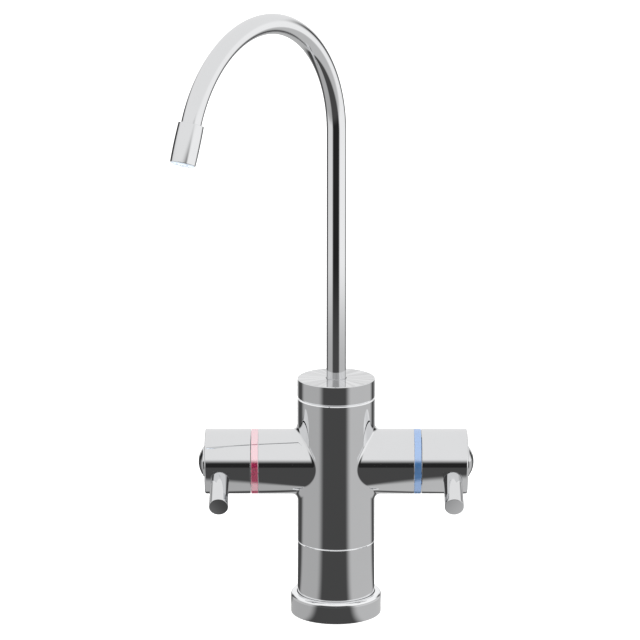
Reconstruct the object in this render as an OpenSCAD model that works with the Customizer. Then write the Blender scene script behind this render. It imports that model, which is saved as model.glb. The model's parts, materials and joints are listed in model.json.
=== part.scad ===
// Deck-mounted boiling water tap: a swan-neck spout that swivels on a round brass body,
// with a hot lever on the left arm and a cold lever on the right arm.
// Frame: origin at the centre of the face that stands on the deck, +Z up,
// the arms along X (hot at -X, cold at +X), the user at -Y.

/* [Spout] */
// Outside diameter of the spout tube
spout_tube_d = 12; // [10:0.5:13]
// Wall thickness of the spout tube
spout_tube_wall = 1; // [0.8:0.1:1.5]
// Height above the deck where the bend starts
bend_start_z = 301; // [240:1:360]
// Centreline radius of the swan-neck bend
bend_radius = 74.5; // [60:0.5:90]
// Angle that the tube turns through in the bend
bend_angle = 159; // [130:1:180]
// Way the spout points, turned from the hot arm towards the user
spout_heading = 55; // [0:1:180]

/* [Swivel] */
// Swivel from the photographed place to the stop on the hot side
swivel_to_hot = 55; // [10:1:90]
// Swivel from the photographed place to the stop on the cold side
swivel_to_cold = 125; // [10:1:140]
// Bore in the body that the spout hub turns in
socket_d = 18; // [17:0.5:20]
// Length of the hub's stem in that bore
hub_stem_h = 23.5; // [20:0.5:26]
// Depth to which the tube is brazed into the hub's stem
tube_socket_h = 14; // [10:0.5:16]
// Diameter of the flange that holds the hub down
hub_flange_d = 25; // [24:0.25:26]
// Thickness of that flange
hub_flange_h = 3.3; // [2.5:0.1:4]
// Thickness of each plastic slide ring
slide_ring_h = 1.5; // [1:0.1:2]
// Diameter of the pin that stops the swivel
stop_pin_d = 2.5; // [2:0.1:2.8]
// Distance of that pin from the swivel axis
stop_pin_r = 11.2; // [11:0.05:11.4]

/* [Outlet] */
// Outside diameter of the outlet collar
collar_d = 15.5; // [15:0.25:17]
// Length of the outlet collar
collar_h = 23; // [20:0.5:30]
// Straight end of the tube inside the collar
tube_tail = 11.5; // [8:0.5:14]
// Diameter to which that end is turned down
tube_end_d = 11.6; // [11:0.1:11.8]
// Diameter of the flow straightener
insert_d = 13.1; // [12.5:0.1:13.5]
// How far the flow straightener stands out of the collar
insert_proud = 1; // [0.5:0.1:2]
// Diameter of each water jet
jet_d = 2.2; // [1.5:0.1:2.6]
// Circle on which the outer jets lie
jet_circle_d = 7.4; // [6.5:0.1:8]
// Number of outer jets
jet_count = 6; // [4:1:7]
// Thickness of the washer between tube and flow straightener
outlet_seal_h = 1; // [0.8:0.1:2]

/* [Body] */
// Diameter of the body, the lower sleeve and the top cap
body_d = 47.5; // [46:0.5:52]
// Height of the joint between the lower sleeve and the valve body
sleeve_top_z = 46; // [40:0.5:54]
// Height of the joint between the valve body and the top cap
cap_joint_z = 137; // [134:0.5:150]
// Bevel on each side of the cap joint
cap_joint_bevel = 0.6; // [0.2:0.1:1]
// Bevel on each side of the sleeve joint
sleeve_joint_bevel = 0.25; // [0.1:0.05:0.5]

/* [Top cap] */
// Height of the top cap
cap_h = 12; // [11:0.5:16]
// Bevel on the cap's upper edge
cap_edge = 0.4; // [0.2:0.1:1]
// Wall of the cap round the body's threaded neck
cap_wall = 3.75; // [2.75:0.25:5.75]

/* [Base] */
// Diameter of the base flange
flange_d = 55.5; // [54:0.5:62]
// Height of the base flange
flange_h = 13; // [10:0.5:18]
// Thickness of the floor that clamps the flange to the deck
flange_floor_h = 5; // [4:0.5:6]
// Rounding of the flange's upper edge
flange_edge_r = 1.2; // [0.5:0.1:1.5]
// Width of the shadow gap between sleeve and flange
shadow_gap = 0.4; // [0.2:0.1:0.8]
// Wall thickness of the lower sleeve
sleeve_wall = 2.5; // [2:0.1:3]
// Diameter of the inlet block's foot
foot_d = 34; // [33:0.5:35]
// Height of the inlet block above the deck
block_top_z = 26; // [24:0.5:30]
// Outside diameter of the base gasket
gasket_d = 50; // [47:0.5:51]
// Width of the base gasket
gasket_w = 4; // [2:0.5:5]
// Thickness of the base gasket
gasket_h = 2; // [1:0.1:2.5]

/* [Ports] */
// Distance between the hot and the cold inlet
port_spacing = 16; // [15:0.25:17]
// Core diameter of the inlet threads, M10 x 1
port_core_d = 9; // [8.5:0.1:9.3]
// Depth of the inlet threads
port_depth = 12; // [10:0.5:15]
// Diameter of the inlet waterways
waterway_d = 7; // [6:0.25:7.5]
// Distance between the two fixing studs
stud_spacing = 21; // [20:0.25:22]
// Core diameter of the stud threads, M6
stud_core_d = 5; // [4.2:0.1:5.2]
// Depth of the stud threads
stud_depth = 12; // [8:0.5:16]

/* [Arms] */
// Height of the arms' axis above the deck
arm_z = 96; // [88:0.5:98]
// Diameter of the arms, colour rings and knobs
arm_d = 40; // [38:0.5:41]
// Distance from the body's axis to the end of an arm
arm_reach = 47.6; // [46.5:0.1:50]
// Radius of the fillet where an arm joins the body
blend_r = 4; // [2:0.5:5]
// Width of a colour ring
ring_w = 4.3; // [3.5:0.1:5]
// Radial depth of a colour ring
ring_depth = 4; // [3.5:0.1:4.25]

/* [Handles] */
// Angle that a lever turns through from closed to open
lever_turn = 90; // [60:1:95]
// Length of a knob
knob_h = 28.1; // [26:0.1:34]
// Wall of a knob round its cavity
knob_wall = 4; // [3:0.25:6]
// Rounding of a knob's outer edge
knob_edge_r = 1; // [0.5:0.1:1.2]
// Distance of the lever's axis from the knob's outer end
lever_inset = 9.3; // [9:0.1:9.8]
// Diameter of a lever where it leaves the knob
lever_root_d = 11.2; // [10:0.1:11.5]
// Diameter of a lever at its free end
lever_tip_d = 11.7; // [10:0.1:13]
// Distance from the arm's axis to the free end of a lever
lever_reach = 47; // [40:0.5:70]
// Angle of a closed lever below level
lever_drop = 20; // [0:1:45]
// Diameter of the rim of the end cap
end_cap_d = 18.5; // [17:0.1:22]
// Thickness of that rim
end_cap_rim_h = 1.2; // [0.8:0.1:2]
// Height of the end cap's dome above its rim
end_cap_dome_h = 2.9; // [1.5:0.1:5]

/* [Cartridges] */
// Depth of a cartridge's hexagon seat below the arm's end
cartridge_inset = 5.6; // [5.2:0.1:6.1]
// Diameter of the water chamber round a cartridge
chamber_d = 22; // [21.5:0.1:22.5]
// Diameter of the cartridge thread, M24 x 1
cartridge_thread_d = 24; // [23.5:0.1:25]
// Diameter of the cartridge's lower body
cartridge_d = 18; // [17.5:0.1:18.4]
// Length of the cartridge's lower body
cartridge_h = 14; // [13.5:0.1:15]
// Length of the cartridge thread
cartridge_thread_h = 10; // [8:0.1:11]
// Room for a socket spanner round the flats of the cartridge's hexagon
hex_room = 3; // [2.25:0.25:3.5]
// Thickness of the hexagon
cartridge_hex_h = 5; // [3:0.1:5.5]
// Diameter of the cartridge's neck
cartridge_neck_d = 14; // [13:0.1:16]
// Length of the neck
cartridge_neck_h = 11; // [10:0.1:12]
// Diameter of the ceramic discs
disc_d = 15; // [14.5:0.1:15.2]
// Thickness of the fixed ceramic disc
fixed_disc_h = 3; // [2.5:0.1:3.5]
// Thickness of the moving ceramic disc
moving_disc_h = 2.5; // [2:0.1:3]
// Diameter of each water hole in the discs
disc_hole_d = 3.4; // [2.5:0.1:3.6]
// Diameter of the spindle
spindle_d = 9; // [8.6:0.1:9.5]
// Diameter of the spindle's end inside the knob
spindle_end_d = 8; // [7:0.1:8.4]
// Length of the spindle's end inside the knob
spindle_end_h = 9; // [8:0.1:9.5]

/* [Fits] */
// Radial clearance between parts that turn in each other
running_fit = 0.05; // [0.02:0.01:0.08]
// Radial clearance between parts that are screwed or pushed together
seat_fit = 0.05; // [0.02:0.01:0.1]
// Clearance between faces that slide on each other
face_gap = 0.1; // [0.05:0.01:0.2]
// Clearance round parts that move freely past others
free_gap = 0.3; // [0.2:0.05:0.5]
// Small bevel on machined edges
edge_bevel = 0.3; // [0.1:0.05:0.4]

/* [Hidden] */
$fn = 96;
// How far every cut runs past the face that it opens
overrun = 2;
hot = -1;
cold = 1;

// Body and base
body_r = body_d / 2;
arm_r = arm_d / 2;
sleeve_bore_d = body_d - 2 * sleeve_wall;
spigot_play = 0.75;
spigot_d = sleeve_bore_d - 2 * spigot_play;
sleeve_seal_section = 1.8;
sleeve_seal_groove_h = 2.3;
// Heights of the two sleeve seals as shares of the inlet block and of the body's spigot
block_seal_share = 0.55;
spigot_seal_share = 0.65;
sleeve_seal_heights = [
    flange_floor_h + block_seal_share * (block_top_z - flange_floor_h),
    block_top_z + spigot_seal_share * (sleeve_top_z - block_top_z)
];

// Inlet block
port_seal_section = 1.4;
port_seal_recess = 1.5;
block_screw_d = 3;
block_screw_head_d = 5.5;
block_screw_head_h = 3;
block_screw_r = 13;
block_screw_grip_h = 10;
block_screw_thread_h = 8;
block_screw_hole_d = block_screw_head_d + 2 * seat_fit;
block_screw_hex = 2.5;

// Top of the body, from the slide rings' floor up to the cap
neck_recess_d = 27;
slide_floor_drop = 1.5;
slide_floor_z = cap_joint_z + slide_floor_drop;
hub_flange_z = slide_floor_z + slide_ring_h + face_gap;
upper_slide_z = hub_flange_z + hub_flange_h + face_gap;
cap_roof_z = upper_slide_z + slide_ring_h;
cap_top_z = cap_joint_z + cap_h;
neck_d = body_d - 2 * cap_wall;
thread_relief = 0.2;
neck_top_z = cap_roof_z - thread_relief;

// Spout hub and swivel stop
tube_bore_d = spout_tube_d - 2 * spout_tube_wall;
tube_end_ream = 0.15;
tube_end_lap = 0.5;
hub_stem_d = socket_d - 2 * running_fit;
hub_bottom_z = hub_flange_z - hub_stem_h;
socket_floor_play = 0.5;
socket_floor_z = hub_bottom_z - socket_floor_play;
tube_bottom_z = hub_flange_z - tube_socket_h;
hub_seal_section = 1.6;
hub_seal_groove_h = 2.1;
// Heights of the hub's seals as shares of its stem
hub_seal_shares = [0.2, 0.72];
stop_pin_seat_h = 3;
stop_pin_engage_h = 2.4;
stop_pin_angle = 90;
stop_margin = asin((stop_pin_d / 2 + free_gap) / stop_pin_r);
stop_slot_angle = stop_pin_angle - swivel_to_cold - stop_margin;
stop_slot_sweep = swivel_to_hot + swivel_to_cold + 2 * stop_margin;
stop_slot_r = stop_pin_r - stop_pin_d / 2 - free_gap;

// Waterways in the valve body
outlet_way_d = 8;
cross_way_d = 4;
cross_way_rise = 8.8;
seat_hole_d = 6;

// Outlet
outlet_seal_w = 1.7;
insert_cup_d = 10.6;
insert_cup_h = 3;
insert_key_count = 6;
insert_key_w = 1.8;
insert_key_h = 0.7;

// Arms, measured along the arm's axis from the body's axis
thread_end_x = arm_reach - cartridge_inset;
chamber_end_x = thread_end_x - cartridge_thread_h;
seat_x = chamber_end_x - cartridge_h;
ring_spigot_d = arm_d - 2 * ring_depth;
ring_spigot_wall = 1;
arm_recess_d = ring_spigot_d - 2 * ring_spigot_wall;
ring_end_x = arm_reach + ring_w;
ring_spigot_end_x = ring_end_x - face_gap;
neck_x = thread_end_x + cartridge_hex_h;
neck_end_x = neck_x + cartridge_neck_h;
knob_x = ring_end_x + free_gap;
knob_end_x = knob_x + knob_h;

// Cartridge, from its seat outwards
cartridge_hex = arm_recess_d - 2 * hex_room;
seat_seal_h = 0.9;
seat_seal_w = 1.1;
disc_play = 0.1;
disc_bore_d = disc_d + 2 * disc_play;
disc_face_gap = 0.05;
disc_hole_r = 4;
fixed_disc_x = seat_x + seat_seal_h;
moving_disc_x = fixed_disc_x + fixed_disc_h + disc_face_gap;
carrier_x = moving_disc_x + moving_disc_h;
carrier_h = 2.5;
carrier_d = disc_bore_d - 2 * free_gap;
carrier_end_x = carrier_x + carrier_h;
disc_bore_end_x = carrier_end_x + face_gap;
drive_peg_d = 2;
drive_peg_h = 1;
drive_peg_r = 4.5;
window_d = 3.2;
window_x = (moving_disc_x + carrier_x) / 2;
window_count = 4;
stop_key_w = 2.4;
stop_key_reach = 1.7;
stop_key_angle = 200;
stop_key_r = disc_bore_d / 2 - stop_key_reach;
notch_r = stop_key_r - free_gap;
notch_margin = asin((stop_key_w / 2 + free_gap) / notch_r);
cartridge_seal_section = 1.8;
cartridge_seal_x = chamber_end_x - cartridge_seal_section / 2 - seat_fit;

// Spindle and what sits on it
spindle_seal_section = 1.1;
spindle_seal_groove_h = 1.5;
// Places of the spindle's seals as shares of the cartridge's bore
spindle_seal_shares = [0.45, 0.7];
circlip_h = 0.9;
circlip_d = 12;
circlip_groove_depth = 0.7;
circlip_gap_w = 3;
circlip_x = neck_end_x + free_gap;
spindle_shoulder_x = circlip_x + circlip_h + edge_bevel;
knob_floor_x = spindle_shoulder_x;
spindle_end_x = knob_floor_x + spindle_end_h;

// Knob, lever, screw and end cap
knob_cavity_d = arm_d - 2 * knob_wall;
knob_end_play = 0.3;
screw_d = 4;
screw_head_d = 7;
screw_head_h = 4;
screw_hex = 3;
screw_hex_h = 2;
screw_clear_d = 4.4;
screw_thread_h = 8;
screw_web_h = 2.2;
screw_seat_x = spindle_end_x + knob_end_play + screw_web_h;
screw_recess_d = screw_head_d + 2 * free_gap;
end_cap_stem_d = 14;
end_cap_stem_h = 2.6;
end_cap_ledge = 0.4;
end_cap_floor_x = knob_end_x - end_cap_stem_h - face_gap;
lever_x = knob_end_x - lever_inset;
lever_seat_r = 13.5;
lever_stud_d = 6;
lever_stud_h = 6.2;
lever_edge = 0.3;

// Fillet where an arm meets the body, as the path of a ball that touches both
blend_step_count = 48;
blend_row_count = 5;
blend_sink = 0.06;

// Shared shapes

// Disc with bevelled edges, standing on z = 0
module bevelled_disc(d, h, lower, upper) {
    rotate_extrude()
        polygon([
            [0, 0], [d / 2 - lower, 0], [d / 2, lower],
            [d / 2, h - upper], [d / 2 - upper, h], [0, h]
        ]);
}

// Disc with a rounded upper edge and a bevelled lower edge
module rounded_disc(d, h, lower, edge_r) {
    rotate_extrude() {
        polygon([
            [0, 0], [d / 2 - lower, 0], [d / 2, lower],
            [d / 2, h - edge_r], [d / 2 - edge_r, h - edge_r], [d / 2 - edge_r, h], [0, h]
        ]);
        translate([d / 2 - edge_r, h - edge_r])
            intersection() {
                circle(r = edge_r);
                square(edge_r);
            }
    }
}

module washer(outer_d, inner_d, h) {
    difference() {
        cylinder(d = outer_d, h = h);
        translate([0, 0, -overrun])
            cylinder(d = inner_d, h = h + 2 * overrun);
    }
}

// Ring seal of round section, centred on z = 0
module ring_seal(outer_d, section) {
    rotate_extrude()
        translate([(outer_d - section) / 2, 0])
            circle(d = section, $fn = 24);
}

// Groove of a shaft for a ring seal, centred on z = 0
module seal_groove(shaft_d, floor_d, h) {
    translate([0, 0, -h / 2])
        washer(shaft_d + 2 * overrun, floor_d, h);
}

// Sector of a disc from an angle on, for the slots that stops run in
module sector(r, h, from, sweep) {
    rotate([0, 0, from])
        rotate_extrude(angle = sweep)
            square([r, h]);
}

// Drives the hot side by mirroring the cold side
module on_side(side) {
    if (side == hot)
        mirror([1, 0, 0])
            children();
    else
        children();
}

// Turns a part's own +Z into the outward axis of the cold arm
module on_arm(x = 0) {
    translate([x, 0, arm_z])
        rotate([0, 90, 0])
            children();
}

// Turns a part's own +Z into the lever's axis, away from the knob
module on_lever() {
    on_arm(lever_x)
        rotate([0, 0, lever_drop - 90])
            rotate([0, 90, 0])
                children();
}

// Points the spout, which is drawn in the plane y = 0 towards +X
module on_heading() {
    rotate([0, 0, 180 + spout_heading])
        children();
}

// Turns a part's own +Z into the way the water leaves the bend
module on_outlet() {
    on_heading()
        translate([
            bend_radius * (1 - cos(bend_angle)), 0,
            bend_start_z + bend_radius * sin(bend_angle)
        ])
            rotate([0, bend_angle, 0])
                children();
}

// Fillet between arm and body

// Centre of the ball that touches both cylinders, at an angle round the arm
function blend_centre(angle) = let (
    y = (arm_r + blend_r) * cos(angle),
    z = (arm_r + blend_r) * sin(angle)
) [sqrt(pow(body_r + blend_r, 2) - y * y), y, z];

function unit(v) = v / norm(v);

// Where the ball touches the body, a little inside the surface
function blend_on_body(c) = let (share = (body_r - blend_sink) / (body_r + blend_r))
    [c[0] * share, c[1] * share, c[2]];

// Where the ball touches the arm, a little inside the surface
function blend_on_arm(c) = let (share = (arm_r - blend_sink) / (arm_r + blend_r))
    [c[0], c[1] * share, c[2] * share];

// One section of the fillet: its buried corner, then the concave arc
function blend_section(angle) = let (
    c = blend_centre(angle),
    from_body = blend_on_body(c) - c,
    from_arm = blend_on_arm(c) - c,
    turn = acos(unit(from_body) * unit(from_arm)),
    arc = [for (k = [1:blend_row_count - 1])
        c + blend_r * (sin(turn * (1 - k / blend_row_count)) * unit(from_body)
            + sin(turn * k / blend_row_count) * unit(from_arm)) / sin(turn)]
) concat(
    [c + 2 * blend_r * unit(unit(from_body) + unit(from_arm))],
    [c + from_body], arc, [c + from_arm]
);

module arm_fillet() {
    corner_count = blend_row_count + 2;
    points = [for (i = [0:blend_step_count - 1]) each blend_section(360 * i / blend_step_count)];
    faces = [for (i = [0:blend_step_count - 1], k = [0:corner_count - 1]) let (
            a = i * corner_count + k,
            b = i * corner_count + (k + 1) % corner_count,
            c = ((i + 1) % blend_step_count) * corner_count + (k + 1) % corner_count,
            d = ((i + 1) % blend_step_count) * corner_count + k
        ) each [[a, b, c], [a, c, d]]];
    translate([0, 0, arm_z])
        polyhedron(points, faces);
}

// Base

module base_flange() color("gainsboro") {
    difference() {
        rounded_disc(flange_d, flange_h, edge_bevel, flange_edge_r);
        translate([0, 0, flange_floor_h])
            cylinder(d = body_d + 2 * shadow_gap, h = flange_h);
        translate([0, 0, -overrun])
            cylinder(d = foot_d + 2 * seat_fit, h = flange_h);
        translate([0, 0, -gasket_h])
            washer(gasket_d, gasket_d - 2 * gasket_w, 2 * gasket_h);
    }
}

module base_gasket() color("dimgray") {
    washer(gasket_d - 2 * seat_fit, gasket_d - 2 * gasket_w + 2 * seat_fit, gasket_h);
}

// Places its children at each assembly screw of the inlet block
module at_block_screws() {
    for (angle = [45, 225])
        rotate([0, 0, angle])
            translate([block_screw_r, 0, 0])
                children();
}

module at_ports() {
    for (side = [hot, cold])
        translate([side * port_spacing / 2, 0, 0])
            children();
}

module inlet_block() color("goldenrod") {
    difference() {
        union() {
            cylinder(d = foot_d, h = block_top_z);
            translate([0, 0, flange_floor_h])
                cylinder(d = spigot_d, h = block_top_z - flange_floor_h);
        }
        at_ports() {
            translate([0, 0, -overrun])
                cylinder(d = port_core_d, h = port_depth + overrun);
            cylinder(d = waterway_d, h = block_top_z + overrun);
            translate([0, 0, block_top_z - port_seal_recess])
                cylinder(d = waterway_d + 2 * port_seal_section, h = port_seal_recess + overrun);
        }
        for (side = [-1, 1])
            translate([0, side * stud_spacing / 2, -overrun])
                cylinder(d = stud_core_d, h = stud_depth + overrun);
        at_block_screws() {
            translate([0, 0, -overrun])
                cylinder(d = block_screw_hole_d, h = block_top_z - block_screw_grip_h + overrun);
            cylinder(d = block_screw_d + 2 * seat_fit, h = block_top_z + overrun);
        }
        translate([0, 0, sleeve_seal_heights[0]])
            seal_groove(spigot_d, sleeve_bore_d - 2 * sleeve_seal_section, sleeve_seal_groove_h);
    }
}

module block_screws() color("silver") {
    at_block_screws() {
        translate([0, 0, block_top_z - block_screw_grip_h]) {
            cylinder(d = block_screw_d, h = block_screw_grip_h + block_screw_thread_h);
            translate([0, 0, -block_screw_head_h])
                difference() {
                    cylinder(d = block_screw_head_d, h = block_screw_head_h);
                    translate([0, 0, -overrun])
                        cylinder(d = block_screw_hex, h = block_screw_head_h / 2 + overrun, $fn = 6);
                }
        }
    }
}

module port_seals() color("black") {
    at_ports()
        translate([0, 0, block_top_z - port_seal_section / 2 - seat_fit])
            ring_seal(waterway_d + 2 * port_seal_section - 2 * seat_fit, port_seal_section - 2 * seat_fit);
}

module sleeve_seals() color("black") {
    for (z = sleeve_seal_heights)
        translate([0, 0, z])
            ring_seal(sleeve_bore_d - 2 * seat_fit, sleeve_seal_section - 2 * seat_fit);
}

module lower_sleeve() color("gainsboro") {
    translate([0, 0, flange_floor_h])
        difference() {
            bevelled_disc(body_d, sleeve_top_z - flange_floor_h, edge_bevel, sleeve_joint_bevel);
            translate([0, 0, -overrun])
                cylinder(d = sleeve_bore_d, h = sleeve_top_z + overrun);
        }
}

// Valve body: barrel, two arms, fillets, spigot and neck, with its waterways

module valve_body_outside() {
    translate([0, 0, block_top_z])
        cylinder(d = spigot_d, h = arm_z - block_top_z);
    translate([0, 0, sleeve_top_z])
        bevelled_disc(body_d, cap_joint_z - sleeve_top_z, sleeve_joint_bevel, cap_joint_bevel);
    translate([0, 0, arm_z])
        cylinder(d = neck_d, h = neck_top_z - arm_z);
    on_arm(-arm_reach)
        bevelled_disc(arm_d, 2 * arm_reach, edge_bevel, edge_bevel);
    on_arm(-ring_spigot_end_x)
        cylinder(d = ring_spigot_d, h = 2 * ring_spigot_end_x);
    for (side = [hot, cold])
        on_side(side)
            arm_fillet();
}

module arm_bore() {
    on_arm(seat_x)
        cylinder(d = chamber_d, h = cartridge_h + overrun);
    on_arm(chamber_end_x)
        cylinder(d = cartridge_thread_d, h = cartridge_thread_h + overrun);
    on_arm(thread_end_x)
        cylinder(d = arm_recess_d, h = ring_spigot_end_x);
    on_arm(port_spacing / 2)
        cylinder(d = seat_hole_d, h = seat_x - port_spacing / 2 + overrun);
    translate([port_spacing / 2, 0, 0])
        cylinder(d = waterway_d, h = arm_z + seat_hole_d / 2);
}

module valve_body() color("gainsboro") {
    difference() {
        valve_body_outside();
        for (side = [hot, cold])
            on_side(side)
                arm_bore();
        translate([0, 0, cross_way_rise])
            on_arm(-seat_x - overrun)
                cylinder(d = cross_way_d, h = 2 * (seat_x + overrun));
        translate([0, 0, arm_z + cross_way_rise])
            cylinder(d = outlet_way_d, h = socket_floor_z - arm_z);
        translate([0, 0, socket_floor_z])
            cylinder(d = socket_d, h = cap_top_z);
        translate([0, 0, slide_floor_z])
            cylinder(d = neck_recess_d, h = cap_top_z);
        rotate([0, 0, stop_pin_angle])
            translate([stop_pin_r, 0, slide_floor_z - stop_pin_seat_h])
                cylinder(d = stop_pin_d + 2 * seat_fit, h = stop_pin_seat_h + overrun);
        at_block_screws()
            cylinder(d = block_screw_d + 2 * seat_fit, h = block_top_z + block_screw_thread_h + overrun);
        translate([0, 0, sleeve_seal_heights[1]])
            seal_groove(spigot_d, sleeve_bore_d - 2 * sleeve_seal_section, sleeve_seal_groove_h);
    }
}

// Top cap and what it holds down

module top_cap() color("gainsboro") {
    translate([0, 0, cap_joint_z])
        difference() {
            bevelled_disc(body_d, cap_h, cap_joint_bevel, cap_edge);
            translate([0, 0, -overrun])
                cylinder(d = neck_d + 2 * seat_fit, h = cap_roof_z - cap_joint_z + overrun);
            cylinder(d = spout_tube_d + 2 * free_gap, h = cap_h + overrun);
            translate([0, 0, cap_h - edge_bevel])
                cylinder(d1 = spout_tube_d + 2 * free_gap, d2 = spout_tube_d + 4 * free_gap,
                    h = edge_bevel);
        }
}

module lower_slide_ring() color("white") {
    difference() {
        translate([0, 0, slide_floor_z])
            washer(neck_recess_d - 2 * seat_fit, socket_d + 2 * free_gap, slide_ring_h);
        swivel_stop(stop_pin_d + 2 * seat_fit);
    }
}

module upper_slide_ring() color("white") {
    translate([0, 0, upper_slide_z])
        washer(neck_recess_d - 2 * seat_fit, spout_tube_d + 2 * free_gap, slide_ring_h);
}

module swivel_stop(d) {
    rotate([0, 0, stop_pin_angle])
        translate([stop_pin_r, 0, slide_floor_z - stop_pin_seat_h])
            cylinder(d = d, h = stop_pin_seat_h + slide_ring_h + stop_pin_engage_h);
}

module swivel_stop_pin() color("silver") {
    swivel_stop(stop_pin_d);
}

// Spout

// The tube's section, turned round the bend from the top of its straight length
module bend() {
    translate([bend_radius, 0, bend_start_z])
        rotate([90, 0, 180])
            rotate_extrude(angle = bend_angle)
                translate([bend_radius, 0])
                    difference() {
                        circle(d = spout_tube_d, $fn = 48);
                        circle(d = tube_bore_d, $fn = 48);
                    }
}

// The tube's outlet end is turned down and reamed, and starts inside the bend's wall
module spout_tube() color("gainsboro") {
    on_heading() {
        translate([0, 0, tube_bottom_z])
            washer(spout_tube_d, tube_bore_d, bend_start_z - tube_bottom_z);
        bend();
    }
    on_outlet()
        translate([0, 0, -tube_end_lap])
            washer(tube_end_d, tube_bore_d + 2 * tube_end_ream, tube_tail + tube_end_lap);
}

module spout_hub() color("goldenrod") {
    difference() {
        union() {
            translate([0, 0, hub_bottom_z])
                bevelled_disc(hub_stem_d, hub_stem_h + hub_flange_h, edge_bevel, 0);
            translate([0, 0, hub_flange_z])
                cylinder(d = hub_flange_d, h = hub_flange_h);
        }
        translate([0, 0, tube_bottom_z])
            cylinder(d = spout_tube_d + 2 * seat_fit, h = hub_stem_h + hub_flange_h);
        translate([0, 0, hub_bottom_z - overrun])
            cylinder(d = tube_bore_d, h = hub_stem_h);
        for (share = hub_seal_shares)
            translate([0, 0, hub_bottom_z + share * hub_stem_h])
                seal_groove(hub_stem_d, hub_stem_d - 2 * hub_seal_section - 2 * seat_fit,
                    hub_seal_groove_h);
        translate([0, 0, hub_flange_z])
            difference() {
                sector(hub_flange_d, hub_flange_h + overrun, stop_slot_angle, stop_slot_sweep);
                cylinder(r = stop_slot_r, h = 2 * hub_flange_h + overrun);
            }
    }
}

module hub_seals() color("black") {
    for (share = hub_seal_shares)
        translate([0, 0, hub_bottom_z + share * hub_stem_h])
            ring_seal(hub_stem_d, hub_seal_section);
}

module outlet_collar() color("gainsboro") {
    on_outlet()
        difference() {
            bevelled_disc(collar_d, collar_h, edge_bevel, edge_bevel);
            translate([0, 0, -overrun])
                cylinder(d = tube_end_d + 2 * seat_fit, h = collar_h);
            translate([0, 0, tube_tail])
                cylinder(d = insert_d + 2 * seat_fit, h = collar_h);
        }
}

module outlet_seal() color("black") {
    on_outlet()
        translate([0, 0, tube_tail])
            washer(insert_d - 2 * seat_fit, insert_d - 2 * outlet_seal_w, outlet_seal_h);
}

module flow_straightener() color("lightsteelblue") {
    insert_h = collar_h - tube_tail - outlet_seal_h + insert_proud;
    on_outlet()
        translate([0, 0, tube_tail + outlet_seal_h])
            difference() {
                bevelled_disc(insert_d, insert_h, 0, edge_bevel);
                translate([0, 0, -overrun])
                    cylinder(d = insert_cup_d, h = insert_cup_h + overrun);
                cylinder(d = jet_d, h = insert_h + overrun);
                for (i = [0:jet_count - 1])
                    rotate([0, 0, 360 * i / jet_count])
                        translate([jet_circle_d / 2, 0, 0])
                            cylinder(d = jet_d, h = insert_h + overrun);
                for (i = [0:insert_key_count - 1])
                    rotate([0, 0, 360 * (i + 1 / 2) / insert_key_count])
                        translate([(jet_circle_d + jet_d) / 2, -insert_key_w / 2, insert_h - insert_key_h])
                            cube([insert_d, insert_key_w, insert_key_h + overrun]);
            }
}

// Arms: colour ring, cartridge and its seals and discs

module colour_ring() {
    on_arm(arm_reach)
        difference() {
            bevelled_disc(arm_d, ring_w, edge_bevel, edge_bevel);
            translate([0, 0, -overrun])
                cylinder(d = ring_spigot_d + 2 * seat_fit, h = ring_w + 2 * overrun);
        }
}

module hot_ring() color("crimson") colour_ring_on(hot);
module cold_ring() color("royalblue") colour_ring_on(cold);
module colour_ring_on(side) on_side(side) colour_ring();

module cartridge() {
    on_arm() {
        difference() {
            union() {
                translate([0, 0, seat_x])
                    cylinder(d = cartridge_d, h = thread_end_x - seat_x);
                translate([0, 0, chamber_end_x])
                    cylinder(d = cartridge_thread_d - 2 * seat_fit, h = cartridge_thread_h);
                translate([0, 0, thread_end_x])
                    cylinder(d = cartridge_hex / cos(30), h = cartridge_hex_h, $fn = 6);
                translate([0, 0, chamber_end_x])
                    bevelled_disc(cartridge_neck_d, neck_end_x - chamber_end_x, 0, edge_bevel);
            }
            translate([0, 0, seat_x - overrun])
                cylinder(d = disc_bore_d, h = disc_bore_end_x - seat_x + overrun);
            translate([0, 0, seat_x])
                cylinder(d = spindle_d + 2 * running_fit, h = neck_end_x);
            for (i = [0:window_count - 1])
                translate([0, 0, window_x])
                    rotate([0, 0, 360 * i / window_count])
                        rotate([0, 90, 0])
                            cylinder(d = window_d, h = cartridge_d);
        }
        // Key that stops the lever at both ends of its turn
        rotate([0, 0, stop_key_angle])
            translate([stop_key_r, -stop_key_w / 2, carrier_x + face_gap])
                cube([
                    (disc_bore_d + cartridge_d) / 4 - stop_key_r, stop_key_w,
                    disc_bore_end_x - carrier_x
                ]);
    }
}

module hot_cartridge() color("goldenrod") on_side(hot) cartridge();
module cold_cartridge() color("goldenrod") on_side(cold) cartridge();

module seat_seal() {
    on_arm(seat_x)
        washer(disc_d, disc_d - 2 * seat_seal_w, seat_seal_h);
}

module hot_seat_seal() color("black") on_side(hot) seat_seal();
module cold_seat_seal() color("black") on_side(cold) seat_seal();

module cartridge_seal() {
    on_arm(cartridge_seal_x)
        ring_seal(chamber_d - 2 * seat_fit, cartridge_seal_section);
}

module hot_cartridge_seal() color("black") on_side(hot) cartridge_seal();
module cold_cartridge_seal() color("black") on_side(cold) cartridge_seal();

// Ceramic disc with its two water holes, the first at an angle round the arm
module disc(h, hole_angle) {
    difference() {
        cylinder(d = disc_d, h = h);
        for (turn = [0, 180])
            rotate([0, 0, hole_angle + turn])
                translate([disc_hole_r, 0, -overrun])
                    cylinder(d = disc_hole_d, h = h + 2 * overrun);
    }
}

module fixed_disc() {
    on_arm(fixed_disc_x)
        disc(fixed_disc_h, 0);
}

module hot_fixed_disc() color("ivory") on_side(hot) fixed_disc();
module cold_fixed_disc() color("ivory") on_side(cold) fixed_disc();

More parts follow.
